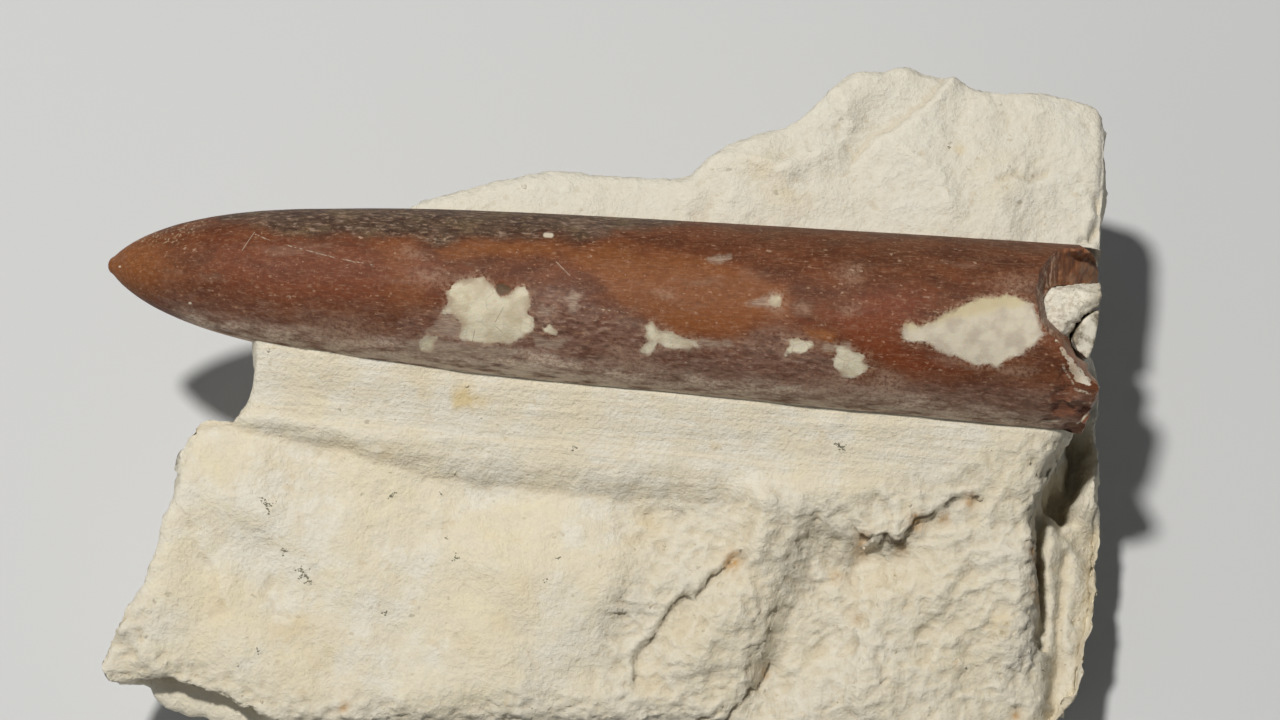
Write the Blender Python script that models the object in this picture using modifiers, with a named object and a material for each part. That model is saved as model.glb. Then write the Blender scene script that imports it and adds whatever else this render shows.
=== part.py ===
"""A fossil belemnite: the bullet-shaped calcite guard of a squid-like animal, bedded to half its depth in the loose
piece of white chalk that it was found in. Its broken end shows the chalk plug that fills its conical hollow.

Plan places are in the guard's own frame: X runs along the guard's axis from its tip towards its broken end, Y runs
across it towards the high back of the chalk, and heights are measured from the axis. The finished specimen then
stands on Z = 0 with its origin under the middle of its box.
"""

import math

import bmesh
import bpy
from mathutils import Vector, noise

MM = 0.001

# The guard
GUARD_LENGTH = 95.6 * MM
GUARD_TIP_X = -52.0 * MM
SWELL_RADIUS = 7.8 * MM
SWELL_LENGTH = 8.5 * MM
SWELL_POWER = 0.8
TAPER = 0.013
MUCRO_RADIUS = 0.95 * MM
END_ROUNDING = 3.2 * MM
GUARD_SIDES = 40
GUARD_RINGS = 26

# The conical hollow at the broken end, and the chalk that fills it
HOLLOW_LENGTH = 24.0 * MM
HOLLOW_PAST_END = 0.5 * MM
HOLLOW_END_RADIUS = 3.7 * MM
HOLLOW_OFFSET = Vector((0.0, 0.7, 3.5)) * MM
HOLLOW_SIDES = 28
PLUG_LENGTH = 21.5 * MM
PLUG_SHORT_OF_END = 0.6 * MM
FIT_GAP = 0.3 * MM

# The break at that end, in a frame that is turned about the guard's axis until it faces the broken side
BREAK_TURN = math.radians(22)
BROKEN_WALL_CENTRE = (46.5, 4.5, 9.5)
BROKEN_WALL_RADII = (10.0, 7.0, 9.0)
BREAK_ROUGHNESS = 0.12
BREAK_GRAIN = 2.3
NOTCH_OUTLINE = [(40.4, -0.8), (40.9, -1.7), (43.1, -3.5), (46.0, -6.0), (46.0, 3.6), (42.4, 3.2), (41.0, 1.6)]
NOTCH_HEIGHT = 30.0

# The chalk
AXIS_HEIGHT = 27.0 * MM
UNDERSIDE = -AXIS_HEIGHT
BELOW_UNDERSIDE = UNDERSIDE - 0.6 * MM
GRAIN_VOXEL = 0.9 * MM
SOFTENING_PASSES = 3
CHALK_TRIANGLES = 6200

# The chalk's roughness, in millimetres: the size and height of its swells, and the size and depth of its dints. The
# scraped ledge in front of the guard, which lies along Y = LEDGE_Y and above LEDGE_LOWEST, keeps little of either.
SWELL_SIZE = 13
SWELL_HEIGHT = 0.7
DINT_SIZE = 6
DINT_DEPTH = 0.55
ROUGHNESS_LIFT = 0.35
LEDGE_Y = -12
LEDGE_HALF_WIDTH = 4
LEDGE_LOWEST = -8
LEDGE_SMOOTHNESS = 0.75

# Each lump of the chalk: its plan outline, the height of its top at a plan point, how much that top rises for each
# millimetre of X and of Y, how deep it goes, and its foot's size as a share of its top's.
LUMPS = {
    "bed": {
        "outline": [
            (-48, -35), (-44, -38), (-33, -40.5), (-15, -39), (8, -37.5), (24, -37), (41.5, -36), (45, -31),
            (44.5, -25), (46, -17), (45.5, -5), (45.5, 8), (45, 20), (41.5, 24.5), (31, 26), (18, 26), (9, 19.5),
            (2, 14.5), (-10, 14.5), (-20, 11), (-27, 5), (-35, -2), (-38, -12), (-45, -23),
        ],
        "top_at": (0, 0, -12.5),
        "rise": (0.0, 0.0),
        "depth": 30,
        "foot": 0.94,
    },
    "seat": {
        "outline": [
            (-37.4, -2), (-37.8, -13.4), (-32, -13.7), (-22, -15.8), (-12, -16.8), (0, -17.4), (11, -17.6),
            (14.5, -17.2), (22.3, -20), (24, -20.2), (26.4, -19.4), (27.8, -17.2), (32, -15.4), (39, -14.3),
            (41.4, -8.6), (42.5, -3), (44, 3), (44, 12), (40, 20), (20, 20), (5, 13), (-10, 12.4), (-22, 8.5),
            (-30, 3),
        ],
        "top_at": (0, -8, -3.4),
        "rise": (0.0, 0.13),
        "depth": 14,
        "foot": 1.0,
    },
    "low_back": {
        "outline": [
            (-28, 2), (-25, 6), (-22.7, 8.9), (-16, 11.6), (-9.3, 13), (-4.5, 12.8), (2.8, 12.6), (9, 15), (12, 4),
        ],
        "top_at": (0, 9, 1.9),
        "rise": (0.03, 0.02),
        "depth": 15,
        "foot": 1.02,
    },
    "high_back": {
        "outline": [
            (3, 12), (4.6, 14), (9.7, 17.8), (14.2, 20), (15.7, 22.4), (18, 24.2), (22.9, 25.3), (27.8, 24.9),
            (31.2, 23.7), (38.7, 23.3), (42, 22.8), (43.2, 19.5), (43.4, 10), (43.4, 4), (10, 4),
        ],
        "top_at": (25, 8, 2.0),
        "rise": (0.0, 0.16),
        "depth": 18,
        "foot": 1.03,
    },
    "front": {
        "outline": [
            (-41.6, -13.4), (-42.8, -15.2), (-45, -21), (-47.1, -27.4), (-50, -32.2), (-51.9, -35.6),
            (-51, -37.8), (-44.8, -37.6), (-35.2, -38.3), (-32, -39.4), (-21.7, -38.7), (-6.6, -37.6), (1.4, -37), (1.9, -34),
            (2.3, -31.4), (5.2, -27), (7.1, -26.4), (8.4, -24), (10.6, -22.6), (11.6, -19), (10, -16.8),
            (-3, -16.8), (-12.5, -16.3), (-22, -15.4), (-32, -13.4),
        ],
        "top_at": (-20, -16, -4.8),
        "rise": (0.01, 0.31),
        "depth": 11,
        "foot": 0.985,
    },
    "slope_floor": {
        "outline": [
            (0, -17), (14, -17), (22, -19.8), (28, -17.4), (38.6, -15), (38.2, -20), (40.4, -26), (41.2, -33),
            (41, -36.2), (22.7, -36.9), (8.4, -37.2), (-2, -37),
        ],
        "top_at": (14, -18, -6.9),
        "rise": (-0.07, 0.37),
        "depth": 9,
        "foot": 1.0,
    },
    "buttress": {
        "outline": [
            (9, -17), (15.5, -17.4), (17, -19.5), (15.6, -23), (14.2, -26.5), (12.4, -31), (11.8, -36.6), (2, -36.8),
            (2, -31), (7, -25),
        ],
        "top_at": (12, -20, -6.0),
        "rise": (-0.1, 0.36),
        "depth": 6,
        "foot": 1.05,
    },
    "slab": {
        "outline": [
            (26.4, -20.2), (31.6, -16.4), (38.4, -15.2), (38.2, -23.4), (40, -28.6), (40.8, -36), (23, -36.6),
            (23.4, -28.6), (24.6, -23.2),
        ],
        "top_at": (30, -20, -6.6),
        "rise": (-0.06, 0.38),
        "depth": 6,
        "foot": 1.04,
    },
}

# Flat breaks that trim the chalk: a point on each, and the direction that it faces.
BREAKS = {
    "front_underside": ((0, -37.5, -19), (0.05, -0.75, -0.66)),
    "left_underside": ((-48.2, -28, -19), (-0.9, -0.12, -0.36)),
    "left_end": ((-38.6, -8, -9), (-0.93, 0.3, -0.2)),
    "back_left": ((-24, 8, -8), (-0.55, 0.8, -0.25)),
    "back_underside": ((10, 17, -15), (-0.25, 0.82, -0.52)),
    "back_right": ((34, 25.5, -10), (0.12, 0.97, -0.2)),
    "right_underside": ((44.5, 0, -18), (0.84, 0.05, -0.54)),
    "right_front": ((43, -34, -16), (0.7, -0.62, -0.35)),
    "left_corner": ((-51.6, -37.6, -14), (-0.66, -0.7, -0.28)),
}


def clear_scene():
    for obj in list(bpy.data.objects):
        bpy.data.objects.remove(obj)


def collection(name):
    made = bpy.data.collections.new(name)
    bpy.context.scene.collection.children.link(made)
    return made


def link_mesh(mesh, name, where):
    obj = bpy.data.objects.new(name, mesh)
    where.objects.link(obj)
    return obj


def as_mesh(obj, name):
    """The object's shape with its modifiers applied, as a new mesh in its own space."""
    graph = bpy.context.evaluated_depsgraph_get()
    graph.update()
    mesh = bpy.data.meshes.new_from_object(obj.evaluated_get(graph))
    mesh.name = name
    return mesh


def hide_helper(obj):
    obj.hide_render = True
    obj.display_type = "WIRE"


def material(name, colour, roughness, transmission=0.0):
    made = bpy.data.materials.new(name)
    made.use_nodes = True
    shader = made.node_tree.nodes["Principled BSDF"]
    shader.inputs["Base Color"].default_value = (*colour, 1.0)
    shader.inputs["Roughness"].default_value = roughness
    shader.inputs["Metallic"].default_value = 0.0
    shader.inputs["Transmission Weight"].default_value = transmission
    return made


def guard_radius(along):
    """The guard's radius at a distance from its tip: a blunt mucro, a quick swell, then an even taper."""
    swell = SWELL_RADIUS * (1 - math.exp(-((along / SWELL_LENGTH) ** SWELL_POWER)))
    mucro = math.sqrt(max(0.0, MUCRO_RADIUS**2 - (along - MUCRO_RADIUS) ** 2))
    return max(swell + TAPER * along, mucro)


def guard_profile(extra=0.0):
    """Half an outline of the guard, as (radius, distance from the tip), from its broken end down to its tip."""
    straight_end = GUARD_LENGTH - END_ROUNDING
    end_radius = guard_radius(straight_end) + extra
    points = [(0.0, GUARD_LENGTH + extra)]
    for step in range(6):
        turn = math.pi / 2 * step / 5
        radius = end_radius - END_ROUNDING * (1 - math.sin(turn))
        points.append((radius, straight_end + extra + END_ROUNDING * math.cos(turn)))
    for ring in range(GUARD_RINGS - 1, 0, -1):
        along = straight_end * (ring / GUARD_RINGS) ** 2
        points.append((guard_radius(along) + extra, along))
    points.append((0.0, -extra))
    return points


def turned_guard(name, where, extra=0.0):
    """The guard as a profile turned about its axis, which lies along X."""
    profile = guard_profile(extra)
    mesh = bpy.data.meshes.new(name)
    edges = [(i, i + 1) for i in range(len(profile) - 1)]
    mesh.from_pydata([(radius, 0.0, along) for radius, along in profile], edges, [])
    obj = link_mesh(mesh, name, where)
    screw = obj.modifiers.new("Turned", "SCREW")
    screw.steps = screw.render_steps = GUARD_SIDES
    screw.use_merge_vertices = True
    screw.merge_threshold = 0.00002
    screw.use_smooth_shade = True
    obj.rotation_euler = (0.0, math.pi / 2, 0.0)
    obj.location = (GUARD_TIP_X, 0.0, 0.0)
    return obj


def cone_along_x(name, where, end_radius, length, mouth_x):
    """A cone that widens along X and ends at mouth_x, on the hollow's own axis."""
    mesh = bpy.data.meshes.new(name)
    cone = bmesh.new()
    bmesh.ops.create_cone(
        cone, cap_ends=True, cap_tris=False, segments=HOLLOW_SIDES, radius1=0.0, radius2=end_radius, depth=length
    )
    cone.to_mesh(mesh)
    cone.free()
    obj = link_mesh(mesh, name, where)
    obj.rotation_euler = (0.0, math.pi / 2, 0.0)
    obj.location = Vector((mouth_x - length / 2, 0.0, 0.0)) + HOLLOW_OFFSET
    return obj


def bite(name, where, centre, radii):
    """A rounded cutter, for the piece of wall that broke off the end of the guard."""
    mesh = bpy.data.meshes.new(name)
    ball = bmesh.new()
    bmesh.ops.create_uvsphere(ball, u_segments=20, v_segments=12, radius=1.0)
    for vertex in ball.verts:
        dent = 1.0 + BREAK_ROUGHNESS * noise.noise(vertex.co * BREAK_GRAIN)
        place = Vector(size * value * dent for size, value in zip(radii, vertex.co))
        vertex.co = (place + Vector(centre)) * MM
    ball.to_mesh(mesh)
    ball.free()
    obj = link_mesh(mesh, name, where)
    obj.rotation_euler.x = BREAK_TURN
    hide_helper(obj)
    return obj


def notch(name, where, outline, height):
    """A prism over an outline, which cuts right through the guard's end from its broken side."""
    mesh = bpy.data.meshes.new(name)
    prism = bmesh.new()
    low = [prism.verts.new(Vector((x, across, -height / 2)) * MM) for x, across in outline]
    face = prism.faces.new(low)
    grown = bmesh.ops.extrude_face_region(prism, geom=[face])["geom"]
    raised = [part for part in grown if isinstance(part, bmesh.types.BMVert)]
    bmesh.ops.translate(prism, verts=raised, vec=(0, 0, height * MM))
    bmesh.ops.recalc_face_normals(prism, faces=prism.faces)
    prism.to_mesh(mesh)
    prism.free()
    obj = link_mesh(mesh, name, where)
    obj.rotation_euler.x = BREAK_TURN
    hide_helper(obj)
    return obj


def cut(obj, cutter):
    boolean = obj.modifiers.new(f"Cut by {cutter.name}", "BOOLEAN")
    boolean.operation = "DIFFERENCE"
    boolean.object = cutter


def lump_into(rock, lump):
    """Adds one lump to the rock as a closed prism with a sloping top."""
    at_x, at_y, at_height = (value * MM for value in lump["top_at"])
    rise_x, rise_y = lump["rise"]
    middle = sum((Vector(point) for point in lump["outline"]), Vector((0, 0))) * MM / len(lump["outline"])
    top, foot = [], []
    for x, y in lump["outline"]:
        point = Vector((x, y)) * MM
        height = at_height + rise_x * (point.x - at_x) + rise_y * (point.y - at_y)
        top.append(rock.verts.new((point.x, point.y, height)))
        spread = middle + (point - middle) * lump["foot"]
        low = max(BELOW_UNDERSIDE, at_height - lump["depth"] * MM)
        foot.append(rock.verts.new((spread.x, spread.y, low)))
    count = len(top)
    faces = [rock.faces.new(top), rock.faces.new(reversed(foot))]
    for i in range(count):
        j = (i + 1) % count
        faces.append(rock.faces.new((foot[i], foot[j], top[j], top[i])))
    bmesh.ops.recalc_face_normals(rock, faces=faces)


def trim(mesh):
    """Presses the chalk flat wherever it stands past one of its breaks."""
    for point, facing in BREAKS.values():
        point, facing = Vector(point) * MM, Vector(facing).normalized()
        for vertex in mesh.vertices:
            past = (vertex.co - point).dot(facing)
            if past > 0:
                vertex.co -= facing * past


def roughen(mesh):
    """Broad swells and smaller dints over the chalk, fewer on the scraped ledge in front of the guard."""
    normals = [vertex.normal.copy() for vertex in mesh.vertices]
    for vertex, normal in zip(mesh.vertices, normals):
        place = vertex.co / MM
        swell = SWELL_HEIGHT * noise.fractal(place / SWELL_SIZE, 1.0, 2.0, 3)
        dint = DINT_DEPTH * noise.turbulence(place / DINT_SIZE, 3, False)
        on_ledge = 0.0
        if place.z > LEDGE_LOWEST:
            on_ledge = math.exp(-(((place.y - LEDGE_Y) / LEDGE_HALF_WIDTH) ** 2))
        share = 1.0 - LEDGE_SMOOTHNESS * on_ledge
        vertex.co += normal * share * (swell - dint + ROUGHNESS_LIFT) * MM


def level_underside(mesh):
    for vertex in mesh.vertices:
        vertex.co.z = max(vertex.co.z, UNDERSIDE)


def chalk(where, helpers):
    """The chalk: its lumps grown into one, trimmed by its breaks, roughened, levelled below and thinned."""
    mesh = bpy.data.meshes.new("chalk_lumps")
    rock = bmesh.new()
    for lump in LUMPS.values():
        lump_into(rock, lump)
    rock.to_mesh(mesh)
    rock.free()
    lumps = link_mesh(mesh, "chalk_lumps", helpers)
    remesh = lumps.modifiers.new("Grown together", "REMESH")
    remesh.mode = "VOXEL"
    remesh.voxel_size = GRAIN_VOXEL
    soften = lumps.modifiers.new("Softened", "SMOOTH")
    soften.iterations = SOFTENING_PASSES
    solid = as_mesh(lumps, "chalk_solid")
    trim(solid)
    roughen(solid)
    level_underside(solid)
    hide_helper(lumps)
    obj = link_mesh(solid, "chalk_block", where)
    thin = obj.modifiers.new("Thinned", "DECIMATE")
    solid.calc_loop_triangles()
    thin.ratio = CHALK_TRIANGLES / len(solid.loop_triangles)
    obj.data = as_mesh(obj, "chalk_block")
    obj.modifiers.clear()
    return obj


def stand_on_floor(objects):
    """Gathers the pieces under one empty, whose place puts the specimen's box over the origin, on Z = 0."""
    bpy.context.view_layer.update()
    graph = bpy.context.evaluated_depsgraph_get()
    corners = []
    for obj in objects:
        evaluated = obj.evaluated_get(graph)
        corners += [evaluated.matrix_world @ vertex.co for vertex in evaluated.data.vertices]
    low = Vector(min(corner[i] for corner in corners) for i in range(3))
    high = Vector(max(corner[i] for corner in corners) for i in range(3))
    specimen = bpy.data.objects.new("specimen", None)
    bpy.context.scene.collection.objects.link(specimen)
    specimen.location = (-(low.x + high.x) / 2, -(low.y + high.y) / 2, AXIS_HEIGHT)
    return specimen


def main():
    clear_scene()
    pieces = collection("fossil_belemnite")
    helpers = collection("cutters")

    end_x = GUARD_TIP_X + GUARD_LENGTH
    guard = turned_guard("guard", pieces)
    hollow = cone_along_x("hollow", helpers, HOLLOW_END_RADIUS, HOLLOW_LENGTH, end_x + HOLLOW_PAST_END)
    hide_helper(hollow)
    plug_radius = HOLLOW_END_RADIUS - FIT_GAP
    plug = cone_along_x("alveolus_plug", pieces, plug_radius, PLUG_LENGTH, end_x - PLUG_SHORT_OF_END)
    broken_wall = bite("broken_wall", helpers, BROKEN_WALL_CENTRE, BROKEN_WALL_RADII)
    end_notch = notch("end_notch", helpers, NOTCH_OUTLINE, NOTCH_HEIGHT)

    seat = turned_guard("guard_seat", helpers, FIT_GAP)
    hide_helper(seat)
    block = chalk(pieces, helpers)

    for cutter in (hollow, broken_wall, end_notch):
        cut(guard, cutter)
    cut(plug, end_notch)
    cut(block, seat)

    guard.data.materials.append(material("Amber calcite", (0.16, 0.045, 0.02), 0.35))
    plug.data.materials.append(material("Plug chalk", (0.66, 0.64, 0.57), 0.95))
    block.data.materials.append(material("Chalk", (0.68, 0.63, 0.50), 0.95))

    specimen = stand_on_floor([guard, plug, block])
    for obj in [*pieces.objects, *helpers.objects]:
        obj.parent = specimen


if __name__ == "__main__":
    main()
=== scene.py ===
"""The looks of a fossil belemnite in the piece of chalk that it was found in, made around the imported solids.

Places are in millimetres in the guard's own frame. X runs along the guard's axis, from -52 at its tip towards
its broken end. A place on the chalk is (x, y, height), with the height counted from the axis. A place on the
guard is (x, across, out): out is the way its showing side faces, and across runs over that side towards the
chalk's high back.
"""

import math
import random

import bmesh
import bpy
import numpy as np
from mathutils import Matrix, Vector, noise
from mathutils.bvhtree import BVHTree


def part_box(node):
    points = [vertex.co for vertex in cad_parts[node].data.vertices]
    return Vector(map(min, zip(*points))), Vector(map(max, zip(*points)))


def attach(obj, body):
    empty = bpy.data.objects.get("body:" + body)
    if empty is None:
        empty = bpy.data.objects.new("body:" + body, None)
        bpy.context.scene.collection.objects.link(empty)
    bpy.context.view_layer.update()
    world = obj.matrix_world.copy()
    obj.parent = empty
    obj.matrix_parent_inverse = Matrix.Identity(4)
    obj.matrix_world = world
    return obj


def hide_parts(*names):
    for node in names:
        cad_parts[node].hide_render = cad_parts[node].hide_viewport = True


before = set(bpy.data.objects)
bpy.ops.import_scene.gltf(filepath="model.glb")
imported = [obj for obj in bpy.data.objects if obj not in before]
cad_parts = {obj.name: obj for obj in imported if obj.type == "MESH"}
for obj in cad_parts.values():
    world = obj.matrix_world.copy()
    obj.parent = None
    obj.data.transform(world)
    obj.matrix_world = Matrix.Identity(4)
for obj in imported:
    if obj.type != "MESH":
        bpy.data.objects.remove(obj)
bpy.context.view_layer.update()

MM = 0.001

# The same noise in every run, where Blender would otherwise start it from the clock
NOISE_SEED = 1
noise.seed_set(NOISE_SEED)

# The guard's profile
TIP_X = -52.0
GUARD_LENGTH = 95.6
END_X = TIP_X + GUARD_LENGTH
SWELL_RADIUS = 7.8
SWELL_LENGTH = 8.5
SWELL_POWER = 0.8
TAPER = 0.013
MUCRO_RADIUS = 0.95

# The share of the guard's grid that closes its end, how its rings crowd towards the tip, and its sharp edges
CAP_SHARE = 0.04
RING_CROWDING = 1.2
SHARP_EDGE = math.radians(50)

# The hollow in the guard's broken end and the plug in it, on their own axis
HOLLOW_ACROSS = 2.0
HOLLOW_OUT = 3.0
HOLLOW_APEX_X = 20.0
HOLLOW_WIDENING = 0.154
PLUG_FIT = 0.06
PLUG_VOXEL = 0.17
NOTCH_VOXEL = 0.20
NOTCH_LEVELS = (-12, 14)

# The chalk's mesh
CHALK_VOXEL = 0.60
CHALK_SOFTENING = 8
MERGE_DISTANCE = 0.01
SEAT_GAP = 0.3
SEAT_TOLERANCE = 0.08
SEAT_DRAWN_IN = 1.2
SEAT_FIT = 0.03
FLAT_BOTTOM = 0.35

# The shapes that cut the guard's end: where they start and stop, and how fine they are
BREAK_START_X = 35.6
BREAK_STEP_X = 0.14
BREAK_STEP_ACROSS = 0.15
END_STEP = 0.24
CUTTER_END_X = 46.0
CUTTER_HALF_WIDTH = 10.2
CUTTER_TOP = 16.0
CUTTER_FAR_X = 50.0

# What a cut must leave of a piece, and how far the cutters are moved where it doesn't
LEAST_LEFT = 0.5
CUT_ATTEMPTS = 8
CUT_NUDGE = (0.006, 0.004, 0.003)

# The camera
VIEW_TURN = math.radians(4.75)
VIEW_DISTANCE = 339.6
VIEW_TARGET = (0.0, -5.62, 0.0)
LENS = 100.0


def nose_middle():
    """The middle of the guard's rings near its tip, where nothing is broken off."""
    places = [vertex.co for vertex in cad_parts["guard"].data.vertices]
    tip = min(place.x for place in places)
    nose = [place for place in places if place.x < tip + 25 * MM]
    return [(min(place[i] for place in nose) + max(place[i] for place in nose)) / 2 / MM for i in (1, 2)]


# The guard's own frame
guard_low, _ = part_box("guard")
AXIS = np.array((guard_low.x / MM - TIP_X, *nose_middle()))
LEAN = math.radians(68)
ACROSS = np.array((0.0, math.sin(LEAN), math.cos(LEAN)))
OUT = np.array((0.0, -math.cos(LEAN), math.sin(LEAN)))
FLOOR_HEIGHT = -AXIS[2]


def frame_place(x, y, height):
    """A place in the guard's frame, in millimetres, as a vector in the scene's metres."""
    return Vector((np.array((x, y, height)) + AXIS) * MM)


def from_side(x, across, out):
    """Places given by the guard's showing side, as (x, y, height) rows."""
    x, across, out = np.broadcast_arrays(x, across, out)
    return x[..., None] * np.array((1.0, 0, 0)) + across[..., None] * ACROSS + out[..., None] * OUT


def to_side(places):
    return np.column_stack((places[:, 0], places @ ACROSS, places @ OUT))


def guard_radius(x):
    """The guard's radius at each x."""
    along = np.maximum(np.asarray(x, float) - TIP_X, 0.0)
    swell = SWELL_RADIUS * (1 - np.exp(-((along / SWELL_LENGTH) ** SWELL_POWER)))
    mucro = np.sqrt(np.maximum(MUCRO_RADIUS**2 - (along - MUCRO_RADIUS) ** 2, 0.0))
    return np.maximum(swell + TAPER * along, mucro)


def skin(x, across):
    """How far out the guard's whole surface lies over its showing side."""
    return np.sqrt(np.maximum(guard_radius(x) ** 2 - across**2, 0.0))


def places_of(mesh):
    """The mesh's vertices as rows of places in millimetres in the guard's frame."""
    flat = np.empty(len(mesh.vertices) * 3, np.float32)
    mesh.vertices.foreach_get("co", flat)
    return flat.reshape(-1, 3).astype(float) / MM - AXIS


def put_places(mesh, places):
    mesh.vertices.foreach_set("co", ((places + AXIS) * MM).astype(np.float32).ravel())
    mesh.update()


def normals_of(mesh):
    flat = np.empty(len(mesh.vertices) * 3, np.float32)
    mesh.vertex_normals.foreach_get("vector", flat)
    return flat.reshape(-1, 3).astype(float)


def new_object(mesh, name):
    obj = bpy.data.objects.new(name, mesh)
    bpy.context.scene.collection.objects.link(obj)
    return obj


def refined(obj, name, voxel, softening=0):
    """The object's shape as a fine, even mesh."""
    remesh = obj.modifiers.new("Fine", "REMESH")
    remesh.mode = "VOXEL"
    remesh.voxel_size = voxel * MM
    if softening:
        soften = obj.modifiers.new("Softened", "SMOOTH")
        soften.iterations = softening
    return settled(obj, name)


def settled(obj, name):
    """The object's shape with its modifiers applied, as a new plain object. The old one is removed."""
    graph = bpy.context.evaluated_depsgraph_get()
    graph.update()
    mesh = bpy.data.meshes.new_from_object(obj.evaluated_get(graph))
    bpy.data.objects.remove(obj)
    mesh.name = name
    return new_object(mesh, name)


def volume_of(obj):
    """The volume of an object's shape with its modifiers applied."""
    shape = bmesh.new()
    shape.from_object(obj, bpy.context.evaluated_depsgraph_get())
    volume = shape.calc_volume()
    shape.free()
    return volume


def cut(obj, cutters, name):
    """The object with the cutters' shapes taken out of it. The cut faces keep the cutters' material.

    A solver that fails leaves next to nothing. The cutters are then moved by a hair and it is done again.
    """
    whole = volume_of(obj)
    for cutter in cutters:
        boolean = obj.modifiers.new(cutter.name, "BOOLEAN")
        boolean.operation = "DIFFERENCE"
        boolean.solver = "EXACT"
        boolean.material_mode = "TRANSFER"
        boolean.object = cutter
    for _ in range(CUT_ATTEMPTS):
        if volume_of(obj) > LEAST_LEFT * whole:
            break
        for cutter in cutters:
            cutter.location += Vector(CUT_NUDGE) * MM
    result = settled(obj, name)
    for cutter in cutters:
        bpy.data.objects.remove(cutter)
    return result


def put_attribute(mesh, name, values):
    layer = mesh.attributes.new(name, "FLOAT", "POINT")
    layer.data.foreach_set("value", np.asarray(values, np.float32))


def smooth_step(values, low, high):
    """0 below the one value, 1 above the other, and a smooth rise between them."""
    share = np.clip((values - low) / (high - low), 0.0, 1.0)
    return share * share * (3 - 2 * share)


def fractal(places, size, octaves=4, rough=1.0):
    """Fractal noise of about -1 to 1 at each place. size may be one length or one for each direction."""
    return np.array([noise.fractal(p, rough, 2.0, octaves) for p in (places / np.array(size)).tolist()])


def wobble(places, size, by):
    """The places moved a little, each its own way, so that what is drawn with them has uneven edges."""
    return places + by * np.array([noise.noise_vector(p) for p in (places / size).tolist()])


def facets(places, size, seed):
    """Broken-looking noise: each cell of about that size is a small plane that leans its own way."""
    heights = []
    for place in (places / np.array(size) + seed).tolist():
        centre = noise.voronoi(place)[1][0]
        lean = noise.noise_vector(centre * 5.3)
        heights.append(lean.dot(Vector(place) - centre))
    return np.array(heights)


def spots_over(plan, spots, by_x=1.0, by_y=1.0):
    """The summed strength of soft spots at each plan point. by_x and by_y above 1 make them narrower."""
    total = np.zeros(len(plan))
    for x, y, radius, strength in spots:
        off_x, off_y = by_x * (plan[:, 0] - x), by_y * (plan[:, 1] - y)
        total += strength * np.exp(-((off_x**2 + off_y**2) / radius**2))
    return total


def line_frame(plan, line):
    """Where plan points lie by a line: how far to its right, how far past the nearer end, and how far off."""
    nearest = np.full(len(plan), np.inf)
    offset = np.zeros(len(plan))
    beyond = np.zeros(len(plan))
    last = len(line) - 2
    for i, (start, end) in enumerate(zip(line, line[1:])):
        run = np.subtract(end, start)
        length = math.hypot(*run)
        place = plan[:, :2] - np.array(start)
        along = place @ run / length
        right = (place[:, 0] * run[1] - place[:, 1] * run[0]) / length
        past = np.abs(along - np.clip(along, 0, length))
        distance = np.hypot(past, right)
        closer = distance < nearest - 1e-6
        closer |= (distance < nearest + 1e-6) & (np.abs(right) > np.abs(offset))
        at_end = ((along < 0) & (i == 0)) | ((along > length) & (i == last))
        nearest[closer] = distance[closer]
        offset[closer] = np.where(at_end, right, np.copysign(distance, right))[closer]
        beyond[closer] = np.where(at_end, past, 0.0)[closer]
    return offset, beyond, nearest


def depth_inside(plan, outline):
    """How far each plan point lies inside a closed outline. Outside it the value is negative."""
    closed = [*outline, outline[0]]
    _, _, distance = line_frame(plan, closed)
    inside = np.zeros(len(plan), bool)
    for (x0, y0), (x1, y1) in zip(closed, closed[1:]):
        if y0 == y1:
            continue
        spans = (plan[:, 1] < y0) != (plan[:, 1] < y1)
        crossing = x0 + (plan[:, 1] - y0) * (x1 - x0) / (y1 - y0)
        inside ^= spans & (plan[:, 0] < crossing)
    return np.where(inside, distance, -distance)


# The chalk's surfaces, as plan outlines
LEDGE = [
    (-40, 0), (-38, -13.6), (-32, -14.5), (-22.2, -16.1), (-14.4, -16.8), (-6.7, -17.2), (7, -17.1),
    (14, -16), (21, -16.5), (26, -14), (33, -11.5), (41.6, -8.2), (41, 0),
]
SMOOTH_FACE = [
    (-42.5, -13), (-37.6, -13.7), (-29, -15.2), (-14.4, -16.8), (1, -17.4), (-0.6, -20), (0.4, -23),
    (-0.2, -26), (-1.5, -30), (-2, -35.5), (-10, -37), (-30, -38), (-42, -35.5), (-46, -30), (-44, -22),
]
BACK = [(-26, 2), (-26, 30), (46, 30), (46, 2)]

# The crease at the ledge's foot. The ledge falls towards it ever more steeply, and the chalk rises beyond it.
CREASE = [
    (-39.6, -13.3), (-37.6, -13.7), (-32, -14.5), (-22.2, -16.1), (-14.4, -16.8), (-6.7, -17.2), (1, -17.2),
    (8, -16.9),
]
CREASE_DEPTH = 2.3
CREASE_BEFORE = 3.2
CREASE_BEYOND = 9.0

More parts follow.
